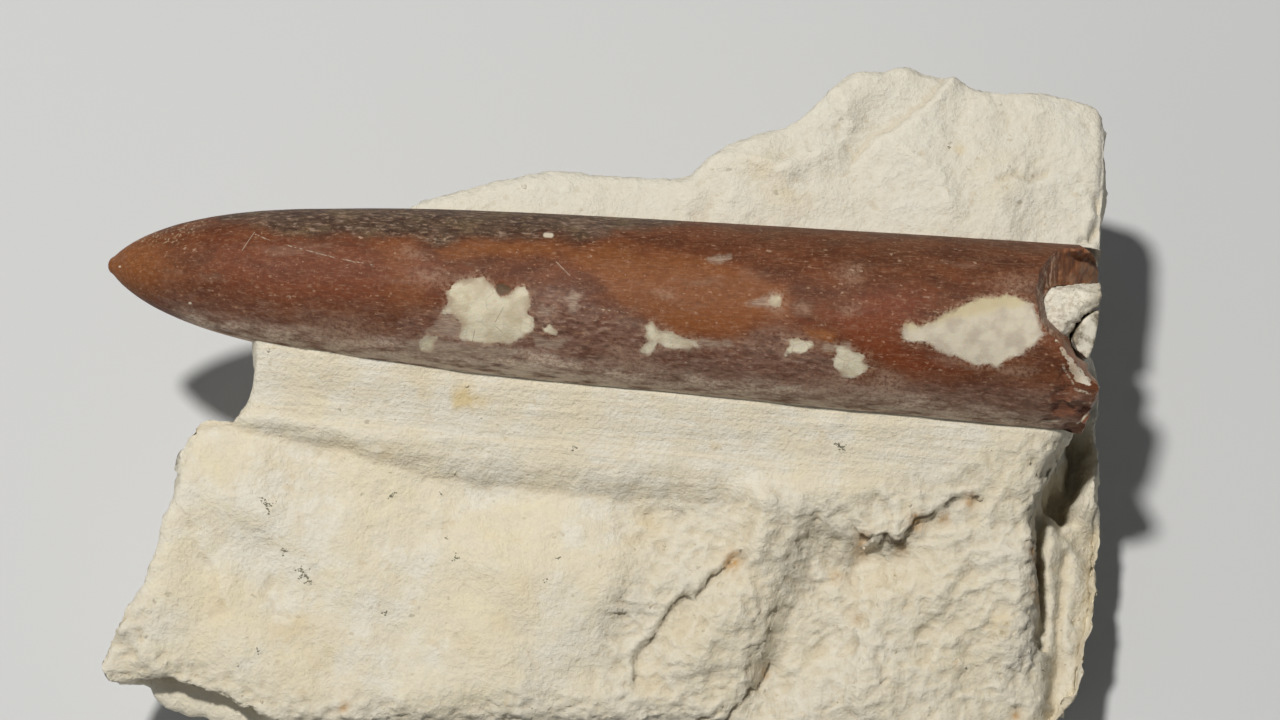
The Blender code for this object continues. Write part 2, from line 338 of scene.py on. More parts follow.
# Steps in the chalk: the drop on the right of each line, how far to each side of the line it takes to fall,
# and how far to the right the chalk rises back again
STEPS = {
    "main crack": (0.9, 0.25, 5.0, [
        (1.8, -33.8), (2.2, -31.5), (3.2, -29.7), (5.2, -26.7), (7, -26.4), (8.3, -24), (9.6, -23),
        (10.7, -22.2),
    ]),
    "end of the smooth face": (0.5, 1.4, 5.0, [
        (-0.7, -29.9), (0, -26.3), (0.3, -22.7), (-0.2, -19.9), (-1.1, -17.5),
    ]),
    "shoulder": (0.4, 0.4, 2.5, [(11.7, -17.2), (12.4, -18.6), (11.9, -20.2), (11.1, -21.7), (10.3, -22.5)]),
    "cove": (0.7, 0.9, 7.0, [
        (13.5, -33), (15.2, -28.5), (16.6, -24.8), (15.6, -23), (16.1, -21), (17.6, -19),
    ]),
    "cove rim": (0.5, 0.8, 5.0, [(17, -21.5), (18.4, -20.2), (20.4, -19.6), (22.4, -19.7)]),
    "lip": (1.2, 0.2, 5.0, [
        (22.6, -19.8), (24.1, -20.2), (25.1, -19.9), (26.3, -19.8), (27, -18.7), (27.6, -17.7), (28.6, -17),
    ]),
    "second lip": (1.0, 0.2, 4.0, [(30.3, -16.1), (31.2, -15.5), (32, -15.2), (32.8, -15.2)]),
    "third lip": (0.5, 0.6, 3.0, [(35.4, -16.6), (36.5, -17), (37.9, -16.5), (39, -15.5)]),
    "slab crack": (0.5, 0.5, 4.0, [
        (29.5, -26.3), (30.4, -25.8), (31.2, -24.6), (31.8, -23), (33.4, -21.3), (35.7, -20.5),
    ]),
    "slab edge": (0.6, 0.4, 4.0, [(22.1, -21.1), (22.5, -23.8), (22.5, -26.6), (22.3, -29.4)]),
    "low crack": (0.45, 0.25, 3.0, [(11, -36.8), (12.5, -34.7), (13.6, -33.2), (14.1, -32.1), (14.6, -31)]),
    "foot crack": (0.5, 0.25, 2.5, [(7.6, -37.6), (8.4, -37.1), (9.4, -36.6), (10.3, -35.9)]),
    "low ridge": (0.4, 0.5, 3.0, [(5.1, -34.8), (8, -33.1), (12.2, -32.2), (15, -30.4)]),
    "right edge": (0.8, 0.8, 5.0, [(40.6, -34), (41.6, -30.3), (41.3, -26.5), (40.1, -22.7), (39.5, -18.8)]),
    "left facet": (0.35, 0.4, 5.0, [
        (-43.1, -21.3), (-41.8, -22.9), (-40.7, -25.1), (-39.6, -26.8), (-37.7, -30.3),
    ]),
    "corner": (0.7, 0.3, 5.0, [
        (-48, -31.5), (-47.2, -32.7), (-45.8, -33.8), (-45.4, -35.1), (-44.8, -36.5), (-43.1, -37.6),
    ]),
    "back fold": (0.9, 0.5, 5.0, [
        (27.3, 24.3), (25.4, 22.1), (23.6, 19.8), (21.8, 18.6), (20.7, 17.8), (19.4, 16.2),
    ]),
}

# Ridges and furrows in the chalk: the rise, half the width, and the line that each follows
FOLDS = {
    "main crack": (-0.3, 0.25, STEPS["main crack"][3]),
    "low crack": (-0.3, 0.25, STEPS["low crack"][3]),
    "foot crack": (-0.3, 0.25, STEPS["foot crack"][3]),
    "buttress": (0.7, 1.6, [
        (13.4, -17.6), (13.2, -20.8), (11.6, -24.4), (9.1, -28.4), (7, -32.1), (5.2, -35.7),
    ]),
    "cove": (-0.8, 2.8, [(19, -22), (17, -28), (15, -34)]),
    "crevice": (-2.6, 0.7, [
        (41.4, -10.5), (40.3, -12.8), (39.8, -15), (39.8, -19), (40.2, -23), (40.6, -27),
    ]),
    "pocket": (-6.5, 1.3, [(43.3, -6), (42.9, -9.3), (42, -12)]),
    "right furrow": (-0.9, 0.5, [(42.2, -17), (42.6, -20), (42.1, -24), (42.6, -28), (42, -33)]),
    "shoulder bowl": (-0.3, 0.6, [(1.6, -18.5), (2.4, -20.6), (4.1, -22.5), (6.2, -23.1), (8.3, -22.5)]),
    "left dint": (-0.25, 0.5, [(-33.8, -27.5), (-34.4, -28.9), (-33, -30.6), (-31.7, -30.9)]),
    "back ridge": (0.5, 0.9, [
        (16.5, 22.5), (17.2, 21.3), (18.6, 18.6), (18.1, 16.9), (15.9, 16), (14.2, 15.5), (12.9, 14.1),
    ]),
    "back rib": (0.35, 0.8, [(22.9, 17.5), (24.9, 15.7), (26.7, 14.5), (27.9, 13), (28.6, 11.4)]),
    "back crack": (-0.35, 0.4, [(37.5, 15.5), (36, 14.9), (35, 15.3), (33.1, 14.7)]),
    "low back rib": (0.3, 0.7, [(8.5, 14.5), (10.9, 14.3), (13.9, 13.9), (15.3, 14.6)]),
    "back valley": (-0.6, 1.5, [(4.2, 13.3), (5.6, 11.3), (5.1, 8.8)]),
    "pit by the guard's end": (-1.0, 0.45, [(42.4, 10.1), (42.9, 11.0)]),
    "upper pit by the guard's end": (-0.8, 0.4, [(43.1, 12.7), (42.8, 13.8)]),
    "lower pit by the guard's end": (-0.7, 0.35, [(41.7, 9.3), (42.3, 9.5)]),
}
LINE_END_FADE = 1.6

# Corners of the chalk that are drawn out, as (x, y, reach, by x, by y)
CORNER_PULLS = [
    (-49.0, -35.2, 3.6, -1.9, -0.8), (-43.8, -14.0, 1.8, -0.7, -0.5), (-40.6, -8.0, 2.8, 2.2, 0),
    (-41.3, -13.2, 1.3, -0.9, -0.2), (41, -8, 2.6, 0.35, -0.2), (43.5, 22.5, 3.6, 0.4, 1.3),
    (30, 25, 2.6, 0, 0.5), (37.5, 23, 4.2, 0, 1.3),
]
FILLET_RISE = 2.3
FILLET_REACH = 7.0
RIGHT_BAND_TILT = 0.65

# The steps that have a thin dark line along them: a dark fissure in the cracks, and painted shade under the
# undercuts of the lips
DARK_LINED_STEPS = ["main crack", "low crack", "foot crack", "lip", "second lip"]

# Stains in the chalk, as (x, y, radius, strength)
RUST = [
    (38.4, -34, 0.5, 0.9), (30.1, -17.2, 0.5, 1), (27.5, -17.9, 0.8, 0.9),
    (26.2, -20, 0.5, 0.6), (22.6, -20, 0.8, 0.7), (32.3, -15.6, 0.6, 0.9), (39.2, -22.6, 0.8, 0.7),
    (39.3, -19.2, 1, 0.8), (10.2, -22.7, 0.8, 0.9), (14.2, -31.7, 0.5, 0.7), (22.6, -26.6, 0.35, 0.4),
    (32.7, -30.2, 0.35, 0.8), (20.2, -22.6, 0.8, 0.5), (-25.4, -38.6, 0.6, 0.7),
]
OCHRE = [
    (-16.8, -10.2, 0.9, 1.9), (-15.5, -10.3, 1.0, 1.5), (-23.5, -15.2, 1.2, 0.6), (-21, -9.5, 1.5, 0.4),
    (-28.9, -16.2, 1.4, 0.5), (-32.2, -33.2, 2.4, 0.5), (-27.3, -34.6, 2.8, 0.55), (-30.5, -31.2, 2, 0.45),
    (-22.4, -25.1, 2.2, 0.35), (-16.2, -19.2, 1.8, 0.3), (-9.7, -27.1, 1.6, 0.5), (-11.3, -30.3, 1.3, 0.55),
    (-14, -32.4, 1.6, 0.4), (-38.5, -30.4, 2.2, 0.5), (-38.3, -19.2, 2, 0.3), (-0.6, -21.8, 1.6, 0.4),
    (1.6, -19.6, 1.8, 0.5), (4.3, -34.1, 2, 0.5), (-34, -16, 1.4, 0.4), (13.1, 11.4, 2.2, 0.5),
    (10, 14.1, 1.6, 0.5), (24.5, -23, 3, 0.25), (36.6, -26.4, 1.1, 1.3), (-47.6, -32.6, 0.7, 1.6),
    (12, -25, 3, 0.3), (6, -30, 2.5, 0.35), (29, 17.3, 0.5, 0.9), (33, 15, 2.5, 0.3),
]


def line_relief(plan):
    """How far the crease, the steps and the folds lift each plan point of the chalk."""
    offset, beyond, _ = line_frame(plan, CREASE)
    share = smooth_step(plan[:, 0], -34, -12)
    wide = 0.3 + 0.7 * share
    fall = np.clip(1 + offset / (CREASE_BEFORE * wide), 0, 1) ** 1.6
    fall *= 1 - smooth_step(offset, 0, CREASE_BEYOND)
    height = -CREASE_DEPTH * (0.6 + 0.4 * share) * fall * (1 - smooth_step(beyond, 0, 5))
    for drop, roll, reach, line in STEPS.values():
        offset, beyond, _ = line_frame(plan, line)
        fall = smooth_step(offset, -roll, 0.6 * roll) * (1 - smooth_step(offset, roll, reach))
        height -= drop * fall * (1 - smooth_step(beyond, 0, LINE_END_FADE))
    for rise, half_width, line in FOLDS.values():
        _, _, distance = line_frame(plan, line)
        height += rise * np.exp(-((distance / half_width) ** 2))
    return height


def shows_detail(face):
    """Whether a face of the chalk looks up and is in sight, which the seat under the guard is not."""
    x, y, height = np.array(face.calc_center_median()) / MM - AXIS
    hidden = TIP_X < x < END_X and math.hypot(y, height) < guard_radius(x) - 0.4
    return face.normal.z > 0.3 and height > FLOOR_HEIGHT + 11 and not hidden


def chalk_base():
    """The chalk solid as a fine, even mesh, its seat drawn in under the guard and its top twice as fine."""
    shape = bmesh.new()
    shape.from_mesh(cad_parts["chalk_block"].data)
    bmesh.ops.remove_doubles(shape, verts=shape.verts, dist=MERGE_DISTANCE * MM)
    mesh = bpy.data.meshes.new("chalk_base")
    shape.to_mesh(mesh)
    shape.free()

    places = places_of(mesh)
    reach = np.hypot(places[:, 1], places[:, 2])
    seat = np.abs(reach - guard_radius(places[:, 0]) - SEAT_GAP) < SEAT_TOLERANCE
    places[seat, 1:] *= (1 - SEAT_DRAWN_IN / reach[seat])[:, None]
    put_places(mesh, places)

    obj = refined(new_object(mesh, "chalk_base"), "chalk", CHALK_VOXEL, CHALK_SOFTENING)
    shape = bmesh.new()
    shape.from_mesh(obj.data)
    fine = {edge for face in shape.faces if shows_detail(face) for edge in face.edges}
    bmesh.ops.subdivide_edges(shape, edges=list(fine), cuts=1, use_grid_fill=True, smooth=0.0)
    shape.to_mesh(obj.data)
    shape.free()
    return obj


def sculpt_chalk(mesh):
    """Gives the chalk its ledge, its smooth face, its broken sides and its relief, and marks its vertices."""
    places, normals = places_of(mesh), normals_of(mesh)
    plan = wobble(wobble(places, 3.1, 0.5), 0.9, 0.22)
    up = smooth_step(normals[:, 2], -0.1, 0.35)
    sides = 1 - up
    ledge = smooth_step(depth_inside(plan, LEDGE), -1.2, 1.2) * up
    face = smooth_step(depth_inside(plan, SMOOTH_FACE), -1.5, 1.5) * up
    back = smooth_step(depth_inside(plan, BACK), -1.0, 1.0) * up
    rough = np.clip(up - ledge - face - back, 0, 1)

    broken = sides * (1 - 0.45 * smooth_step(places[:, 1], 8, 14))

    for x, y, reach, by_x, by_y in CORNER_PULLS:
        pull = spots_over(places, [(x, y, reach, 1.0)])
        places[:, :2] += (pull * smooth_step(places[:, 2], -20, -13))[:, None] * np.array((by_x, by_y))

    # Broad lumps and broken planes first, then the cracked grain, then the fine ripples and the scrape marks
    push = 0.5 * fractal(places, 13, 3) * (1 - ledge)
    push += 0.9 * fractal(places + 40, 9, 4) * broken
    push += (0.5 * rough + 0.1 * back + 0.9 * broken) * facets(wobble(places, 4, 1.2), (7, 7, 5), 3.1) * 1.3
    push += (0.5 * rough + 0.1 * back + 0.6 * broken) * facets(wobble(places, 1.6, 0.5), 2.6, 8.7) * 0.8
    push -= (0.55 * rough + 0.14 * back + 0.5 * sides) * np.abs(fractal(places + 9, 3.6, 5, 0.8))
    grained = 0.25 * rough + 0.1 * back + 0.2 * sides + 0.06 * face
    push -= grained * np.abs(fractal(places + 20, 1.3, 4, 0.7))
    push += 0.22 * rough * facets(wobble(places, 0.8, 0.25), 1.3, 4.4)
    push += 0.12 * face * fractal(places, 4.5, 4, 0.9)
    push -= 0.16 * back * np.abs(fractal(places + 60, 2.0, 4, 0.8))
    push += 0.06 * fractal(places, 0.9, 3, 0.6) * (1 - 0.7 * ledge)
    push += 0.10 * fractal(places, (16, 0.7, 4), 3, 0.8) * ledge
    places += normals * push[:, None]
    places[:, 2] += line_relief(plan) * up

    # The band along the right edge, which tilts away, and the rounded top of the right side behind it
    band = smooth_step(places[:, 0], 39.8, 41.0) * smooth_step(-places[:, 1], 12, 15) * up
    places[:, 2] -= RIGHT_BAND_TILT * band * np.maximum(places[:, 0] - 40.2, 0)
    drop = np.minimum(0.5 * np.maximum(places[:, 0] - 42.2, 0) ** 2, 1.6)
    places[:, 2] -= drop * smooth_step(places[:, 1], 3, 6) * smooth_step(normals[:, 2], 0.3, 0.8)

    # A fillet of chalk along the guard's near side, and chalk drawn in behind the broken end's upper corner
    near = guard_radius(places[:, 0]) - SEAT_GAP
    off_guard = np.maximum(np.abs(places[:, 1]) - near, 0)
    fillet = (1 - smooth_step(off_guard, 0, FILLET_REACH)) ** 1.3 * (places[:, 1] < 0) * (places[:, 0] > -44)
    fillet *= 1 - 0.2 * smooth_step(places[:, 0], 10, 34)
    places[:, 2] += FILLET_RISE * fillet * up * (np.hypot(places[:, 1], places[:, 2]) > near)
    side = to_side(places)
    behind = smooth_step(places[:, 0], 42.9, 43.9) * smooth_step(side[:, 1], 1, 5)
    behind *= smooth_step(side[:, 2], -6, -1)
    reach = np.hypot(places[:, 1], places[:, 2])
    behind *= reach < near + 1.2
    places[:, 1:] *= (1 - 3.0 * behind / np.maximum(reach, 1))[:, None]

    # The chalk's right side, flush with the guard's end beside it
    flush = smooth_step(side[:, 1], -3, 0) * (1 - smooth_step(side[:, 1], 8, 15))
    places[:, 0] -= 0.85 * flush * np.maximum(places[:, 0] - 43.4, 0)

    # An undercut below the front edge's left part, and the sliver of chalk that stands out under it
    run = smooth_step(places[:, 0], -47, -43) * (1 - smooth_step(places[:, 0], -35, -31))
    front = run * smooth_step(-normals[:, 1], 0.1, 0.6) * (places[:, 1] < -30)
    level = places[:, 2]
    gap = np.exp(-(((level + 14.2) / 1.3) ** 2))
    sliver = np.exp(-(((level + 17.2) / 1.4) ** 2))
    places[:, 1] += front * (3.4 * gap - 1.5 * sliver)

    # A flat underside, and a seat that stays just inside the guard's skin
    places[places[:, 2] < FLOOR_HEIGHT + FLAT_BOTTOM, 2] = FLOOR_HEIGHT
    reach = np.hypot(places[:, 1], places[:, 2])
    held = guard_radius(places[:, 0]) - SEAT_FIT
    under = (places[:, 0] > TIP_X) & (places[:, 0] < END_X) & (reach < held)
    places[under, 1:] *= (held[under] / reach[under])[:, None]
    put_places(mesh, places)
    mark_chalk(mesh, plan, ledge, rough, sides)


def mark_chalk(mesh, plan, ledge, rough, sides):
    """Puts on the chalk's vertices what its material needs to know of the place."""
    edges = np.empty(len(mesh.edges) * 2, np.int32)
    mesh.edges.foreach_get("vertices", edges)
    first, second = edges[0::2], edges[1::2]
    count = np.bincount(edges, minlength=len(mesh.vertices))[:, None]
    smooth = places = places_of(mesh)
    for _ in range(6):
        total = np.zeros_like(smooth)
        np.add.at(total, first, smooth[second])
        np.add.at(total, second, smooth[first])
        smooth = total / count
    hollow = np.einsum("ij,ij->i", smooth - places, normals_of(mesh))
    back = smooth_step(depth_inside(plan, BACK), -2, 2) * (1 - sides)
    put_attribute(mesh, "back", back * (1 - 0.2 * smooth_step(places[:, 0], 20, 40)))
    # How hollow or raised each place is. The material paints shade into the hollows and a painted highlight on
    # the raised places.
    put_attribute(mesh, "hollow", np.clip(hollow / 0.12, -1, 1))
    put_attribute(mesh, "ledge", ledge)
    lifted = places[:, 2] > FLOOR_HEIGHT + 1.2
    # Where crumbs lie, on broken chalk and its sides. The material also darkens these places, partly for the
    # broken chalk's duller tone and partly as painted shade on faces that turn away from the light.
    put_attribute(mesh, "crumbs", (rough * 0.9 + sides * 0.4 + 0.12) * lifted)

    # Where the dark lines run: along the cracks they are dark fissures, along the lips painted shade of their
    # undercuts.
    offset, reach = np.full(len(plan), 9.0), np.full(len(plan), 9.0)
    for name in DARK_LINED_STEPS:
        right, _, distance = line_frame(plan, STEPS[name][3])
        nearer = distance < reach
        offset[nearer], reach[nearer] = right[nearer], distance[nearer]
    put_attribute(mesh, "dark_line_offset", np.clip(offset, -2, 2))
    put_attribute(mesh, "dark_line_reach", np.clip(reach + 9 * (sides > 0.9), 0, 2))
    for name, spots in (("rust", RUST), ("ochre", OCHRE)):
        put_attribute(mesh, name, np.clip(spots_over(plan, spots), 0, 2) * (sides < 0.9))


# The guard's markings, as outlines on its showing side. First the ones where its skin has flaked, each with the
# depth that it is sunk in.
CREAM_FLAKES = {
    "big flake": (0.14, [
        (-18.6, -0.3), (-18, 0.4), (-17.3, 0.9), (-15.8, 1.4), (-15.2, 1.6), (-14.5, 1), (-13.9, 0.4),
        (-13.5, -0.2), (-13.3, -0.3), (-12.6, 0), (-11.9, 0.6), (-11.2, 0.8), (-10.7, 0.2), (-10.5, -0.9),
        (-10.8, -1.8), (-10.1, -2), (-10.2, -3.4), (-11.4, -4.1), (-12.3, -4.6), (-14.6, -4.7), (-16.7, -4.6),
        (-17, -4.4), (-16.8, -3.2), (-17.3, -2.7), (-17.7, -2.3), (-18.1, -2.1), (-18.8, -2.4), (-18.3, -1.4),
        (-18, -0.8), (-18.4, -0.5),
    ]),
    "lower left chip": (0.1, [
        (-20.5, -4.7), (-20, -4.5), (-19, -4.5), (-19.4, -5), (-19.5, -5.5), (-19.8, -5.9), (-20.8, -5.9),
        (-20.9, -5.1),
    ]),
    "small chip": (0.05, [
        (-9.2, -3), (-8.8, -2.9), (-8.6, -2.2), (-8.2, -2.9), (-7.9, -3), (-7.8, -3.6), (-8.8, -3.4),
    ]),
    "boot": (0.1, [
        (0.5, -2), (1.1, -1.6), (1.5, -2.2), (3, -2.4), (3.6, -2.8), (5.4, -2.8), (5.5, -3.5), (4.1, -3.8),
        (2.4, -3.8), (1.9, -3.4), (1.5, -3.9), (1.2, -4.5), (0.2, -4.7), (0.2, -4), (0.9, -3.3), (0.6, -2.8),
    ]),
    "bead": (0.04, [(12, 1.8), (12.8, 2), (13.1, 1.5), (13, 0.8), (12.6, 0.5), (12, 0.8), (11.8, 1.3)]),
    "right chip": (0.08, [
        (13.4, -2.3), (14.7, -2), (15, -2.2), (16.3, -2.3), (15.7, -3.3), (15, -3.4), (14.3, -3.3),
        (13.8, -4), (13.6, -3.6), (14.2, -2.7),
    ]),
    "star": (0.12, [
        (18.2, -3.8), (18.5, -3.1), (18.4, -2.5), (19.1, -2.4), (19.9, -2.8), (21.4, -3.2), (20.9, -3.7),
        (21.9, -4.2), (21, -4.9), (20.2, -5.5), (19.3, -5.3), (19, -4.9), (18.3, -4.5),
    ]),
}
GREY_FLAKES = {
    "lens": (0.03, [(5.4, 4.6), (5.9, 5), (6.9, 5.2), (8.6, 5.5), (7.6, 4.8), (7, 4.4), (5.9, 4.5)]),
    "wedge": (0.1, [
        (-20.1, -4.2), (-19.7, -3.5), (-19.2, -2.8), (-18.6, -2.2), (-17.7, -2.3), (-17.2, -2.8),
        (-16.8, -3.2), (-17, -4.5), (-18.4, -4.5), (-19.5, -4.1),
    ]),
    "beside the big flake": (0.04, [
        (-10.1, -3.7), (-9.3, -3.5), (-8.9, -4), (-7.9, -4), (-6.3, -3.5), (-6.9, -4.1), (-8, -4.8),
        (-9.7, -4.9),
    ]),
    "notched chip": (0.05, [(-9.9, -1.4), (-9.2, -0.6), (-9.1, -0.9), (-8, -0.8), (-8.8, -1.7), (-9.5, -2)]),
    "cross": (0.03, [
        (-7.9, -0.1), (-7, 0.3), (-6.6, 1), (-6.3, 0.5), (-5.7, 0.7), (-6, -0.2), (-6.1, -1.3), (-6.8, -1.4),
        (-6.9, -0.4), (-7.5, -0.3),
    ]),
    "bead's tail": (0.03, [(9.6, 0.8), (10.2, 1.1), (11.1, 1.5), (12.2, 1.9), (12.2, 0.6), (10.8, 0.6)]),
    "dust by the lower left chip": (0.0, [
        (-22, -5.2), (-19.5, -4.7), (-17, -5.0), (-12, -5.1), (-12, -5.9), (-17, -6.3), (-22, -6.2),
    ]),
    "star's arm": (0.05, [
        (17, -2.2), (17.7, -2.6), (18.6, -2.4), (19.6, -2), (20, -2.8), (18.4, -3.1), (17.4, -3),
    ]),
    "boot's tail": (0.02, [(5.2, -2.9), (7, -2.8), (8.9, -2.8), (8.6, -3.3), (5.4, -3.5)]),
}
MILKY_EYE = (0.06, [
    (24.6, -0.9), (24.7, 0), (25.3, 0.2), (25.9, -0.1), (27.2, 0.5), (28.8, 1.5), (30.2, 2.3), (31.5, 2.9),
    (33.1, 3.2), (34.7, 3.5), (35.2, 3), (36.4, 2.8), (37, 1.4), (37.6, 0), (37, -0.6), (36.5, -1.2),
    (35.3, -1.9), (34.2, -2.5), (33.6, -3.2), (32.9, -3.1), (31.7, -3.4), (30.6, -3), (29.5, -2.6),
    (27.9, -1.9), (26.4, -1.4), (25.4, -1.7), (24.7, -1.3),
])
PIT = (0.3, [
    (-13.9, 0.3), (-13.8, 0.8), (-13.5, 1), (-13, 0.9), (-12.3, 0.5), (-12.6, 0.1), (-12.9, 0), (-13.4, -0.2),
])
FISSURE_FILL = (0.25, [
    (38.9, -0.4), (39.4, -1.4), (39.9, -2.3), (40.6, -3.5), (41, -4.1), (42, -4.4), (42.5, -4.4),
    (42.3, -3.9), (41.5, -3), (40.7, -2.3), (40, -1.7), (39.5, -1),
])

# Then its zones of colour: how soft the edge is, how strong the colour is, and the outline
AMBER_ZONES = {
    "tip": (3.0, 0.85, [(-55, -8), (-55, 8), (-50, 5), (-47, 2), (-45, 0.3), (-47, -1.5), (-50, -4)]),
    "band": (1.0, 0.42, [
        (-27, 4.6), (-25.1, 4.2), (-23, 4.6), (-21.8, 2.9), (-22.6, 0.4), (-20.9, 0.1), (-20.6, -1.5),
        (-22.4, -2.5), (-23.9, -2.2), (-24.4, -0.2), (-23.9, 1.3), (-25.1, 2.9),
    ]),
    "streak above the big flake": (0.7, 0.8, [
        (-20, 4.2), (-15, 4.9), (-9, 5.2), (-8.6, 4.2), (-13, 3.6), (-19, 3.2),
    ]),
    "glow": (0.4, 1.3, [
        (15.2, -1.0), (16.3, -1.2), (17.3, -1.4), (18.4, -1.8), (18, -2.5), (17.2, -2.4), (16.4, -1.9),
        (15.5, -1.6),
    ]),
    "flame": (0.8, 0.75, [
        (-9, 5.2), (-2, 5.4), (6, 4.6), (13, 2.6), (14, -0.8), (10.8, -1), (9, -2.6), (5, -2.6), (3, -2.2),
        (1.5, -1.6), (-1, -0.5), (-3, 1.5), (-6.5, 3.8),
    ]),
}
EMBER_ZONES = {
    "left": (2.0, 0.6, [(-42, 3.5), (-30, 3.8), (-20, 3), (-19, -1), (-28, -2.4), (-40, -2)]),
    "middle": (1.0, 0.7, [
        (1, -1.7), (8, 0.3), (14, 0.6), (17, -1), (13, -1), (10.8, -1.1), (8.9, -2.7), (3.7, -2.7),
    ]),
    "right": (1.6, 1.1, [
        (17, 1), (22, 2.6), (27, 3), (25, 0.4), (24.2, -1), (25, -2), (30, -3.6), (26, -5), (22, -3.8),
        (19, -1.6),
    ]),
}
# The band along the top is partly the calcite's own smoky tone and partly a painted dark reflection along the
# guard's upper edge.
SMOKE_AND_REFLECTION_ZONES = {
    "along the top": (0.7, 0.9, [
        (-42, 7), (-40.9, 5.2), (-39.1, 5), (-37.4, 4.9), (-34.5, 4.4), (-31.4, 4.7), (-28, 4.5),
        (-19.6, 4.7), (-14, 5.3), (-8, 6), (2, 7.4), (6, 10), (-42, 10),
    ]),
    "under the big flake": (0.25, 0.6, [
        (-19.5, -5.5), (-19.2, -4.9), (-18.7, -4.6), (-18.3, -4.9), (-15, -4.9), (-12.4, -4.8), (-10.6, -5.2),
        (-12.6, -5.9), (-16.4, -5.6), (-18.9, -5.9),
    ]),
    "right top": (2.0, 0.15, [(6, 6.6), (20, 5.6), (43, 5), (43, 10), (6, 10)]),
}
DUSK_ZONES = {
    "under the big flake": (1.4, 0.7, [
        (-22, -2.6), (-19, -2), (-10, 1), (-5, 0.4), (-1, -1.2), (1.5, -2), (5.4, -3.6), (8.9, -2.7),
        (12.7, -0.9), (15.9, -2.1), (18.4, -4.1), (20, -5.8), (30, -5), (43, -5), (43, -10), (-30, -10),
    ]),
    "left": (2.0, 0.35, [(-46, -2), (-30, -2.4), (-20, -2.4), (-20, -10), (-46, -10)]),
}
# The lower edge of its clean surface, along x, under which chalk powder clings to it
POWDER_LINE = [
    (-46, -4.1), (-43.9, -3.4), (-42.2, -4.1), (-37.1, -4.6), (-32.9, -4.8), (-28.6, -5.0), (-20.3, -5.1),
    (-10, -5.0), (-6, -5.6), (0, -6.0), (10, -6.3), (20, -6.4), (30, -6.6), (38, -7.6), (44, -8.4),
]

# Faint pale smudges on it, as (x, across, radius, strength), and how much longer than wide they are
SMUDGE_SHAPE = (0.6, 1.3)
SMUDGES = [
    (14.8, 0.7, 0.6, 0.5), (18.9, 4.3, 0.8, 0.45), (19.3, 1.3, 0.8, 0.35), (1.9, 1.2, 0.7, 0.5),
    (19.5, 5.1, 0.6, 0.4), (-20.5, 1.0, 1.1, 0.5), (-21.8, 3.2, 0.8, 0.4), (34.8, 4.6, 1.4, 0.45),
    (23.5, -5.8, 1.2, 0.9), (18.3, -6.6, 1.4, 0.8), (-28, -5.0, 1.6, 0.7), (-1.8, -4.6, 1.0, 0.6),
    (0.4, -5.6, 0.8, 0.8), (35.5, -3.2, 0.9, 0.5), (11.2, -2.8, 1.0, 0.4),
]

# The part of its tip that is flecked with white
WHITE_TIP = [
    (-50.2, 2.2), (-48, 3.8), (-45, 5.4), (-42, 5.8), (-42.6, 4), (-44.8, 2.9), (-47, 2.6), (-49, 1.8),
]

# Scooped chips in its lower arm: the place, half its length and width, the turn in degrees, and the depth
CHIPS = {
    "beside the fissure": (40.3, -4.1, 1.3, 0.7, -60, 0.45),
    "upper left": (40.1, -6.8, 1.2, 0.7, 5, 0.45),
    "upper right": (41.7, -6.7, 1.1, 0.75, -15, 0.4),
    "right": (42.6, -7.3, 0.9, 0.7, 30, 0.7),
    "crescent": (39.1, -7.9, 0.9, 0.3, 8, 0.25),
    "underside": (41.7, -8.5, 1.3, 0.6, 0, 0.5),
    "scallop": (40.0, -5.5, 1.3, 0.8, 20, 0.3),
}

# The break in its end. The skin stops along the edge, and beyond it the wall falls to these levels along X.
SKIN_EDGE = [
    (47, 8.7), (41.2, 8.75), (39.2, 8.4), (38.4, 8), (37.6, 7.2), (36.9, 6), (36.6, 4.7), (36.6, 3.7),
    (36.9, 2.3), (37.2, 1.2), (37.9, 0.4), (38.8, -0.3), (39.4, -0.8), (39.5, -1), (40, -1.7), (40.7, -2.3),
    (41.5, -3), (42.3, -3.9), (43.1, -4.3), (47, -4.6),
]
WALL_LEVELS = [
    (36.5, 7.9), (36.9, 6.8), (37.6, 5.5), (38.4, 4.2), (39.2, 3.2), (40.6, 1.7), (42, 0.4), (43.5, -1.2),
]
PLUG_OUTLINE = [
    (37.8, 3.8), (38.5, 4.2), (39.6, 4.7), (40.6, 4.9), (41.7, 4.7), (42.5, 4.3), (44, 4.2), (44, 0),
    (40.4, -1), (39.7, -0.5), (39, -0.2), (38.1, 0.4), (37.4, 1.3), (37.3, 2.3), (37.5, 3.2),
]
NOTCH_OUTLINE = [
    (40.4, -0.8), (40.4, 0), (40.6, 0.8), (41, 1.6), (41.5, 2.2), (42.2, 2.8), (43.2, 3.3), (47, 3.5),
    (47, -6), (43.1, -3.5), (42.5, -2.6), (41.7, -2.1), (40.9, -1.7),
]
NOTCH_CHALK_OUTLINE = [
    (40.65, -0.1), (40.9, 0.75), (41.35, 1.5), (41.9, 2.2), (42.6, 2.7), (43, 2.9), (43, 1.2), (42.7, -0.4),
    (42.3, -1.9), (41.1, -1.1),
]

# How far along X its end lies, from its near side to its far one, as (across, x)
END_OUTLINE = [
    (-9.6, 42.9), (-8, 42.9), (-7, 43.0), (-6.4, 43.1), (-5.6, 43.45), (-4.6, 43.45), (-3.7, 43),
    (-2.9, 42.2), (2.5, 43.2), (6.2, 43.3), (7.4, 42.9), (8.4, 42.1), (9.2, 41),
]


def feed(tree, socket, value):
    """Links a value to a socket or sets it there. A colour may be given as three numbers."""
    if isinstance(value, bpy.types.NodeSocket):
        tree.links.new(value, socket)
    elif value is not None:
        socket.default_value = (*value, 1.0) if socket.type == "RGBA" and len(value) == 3 else value


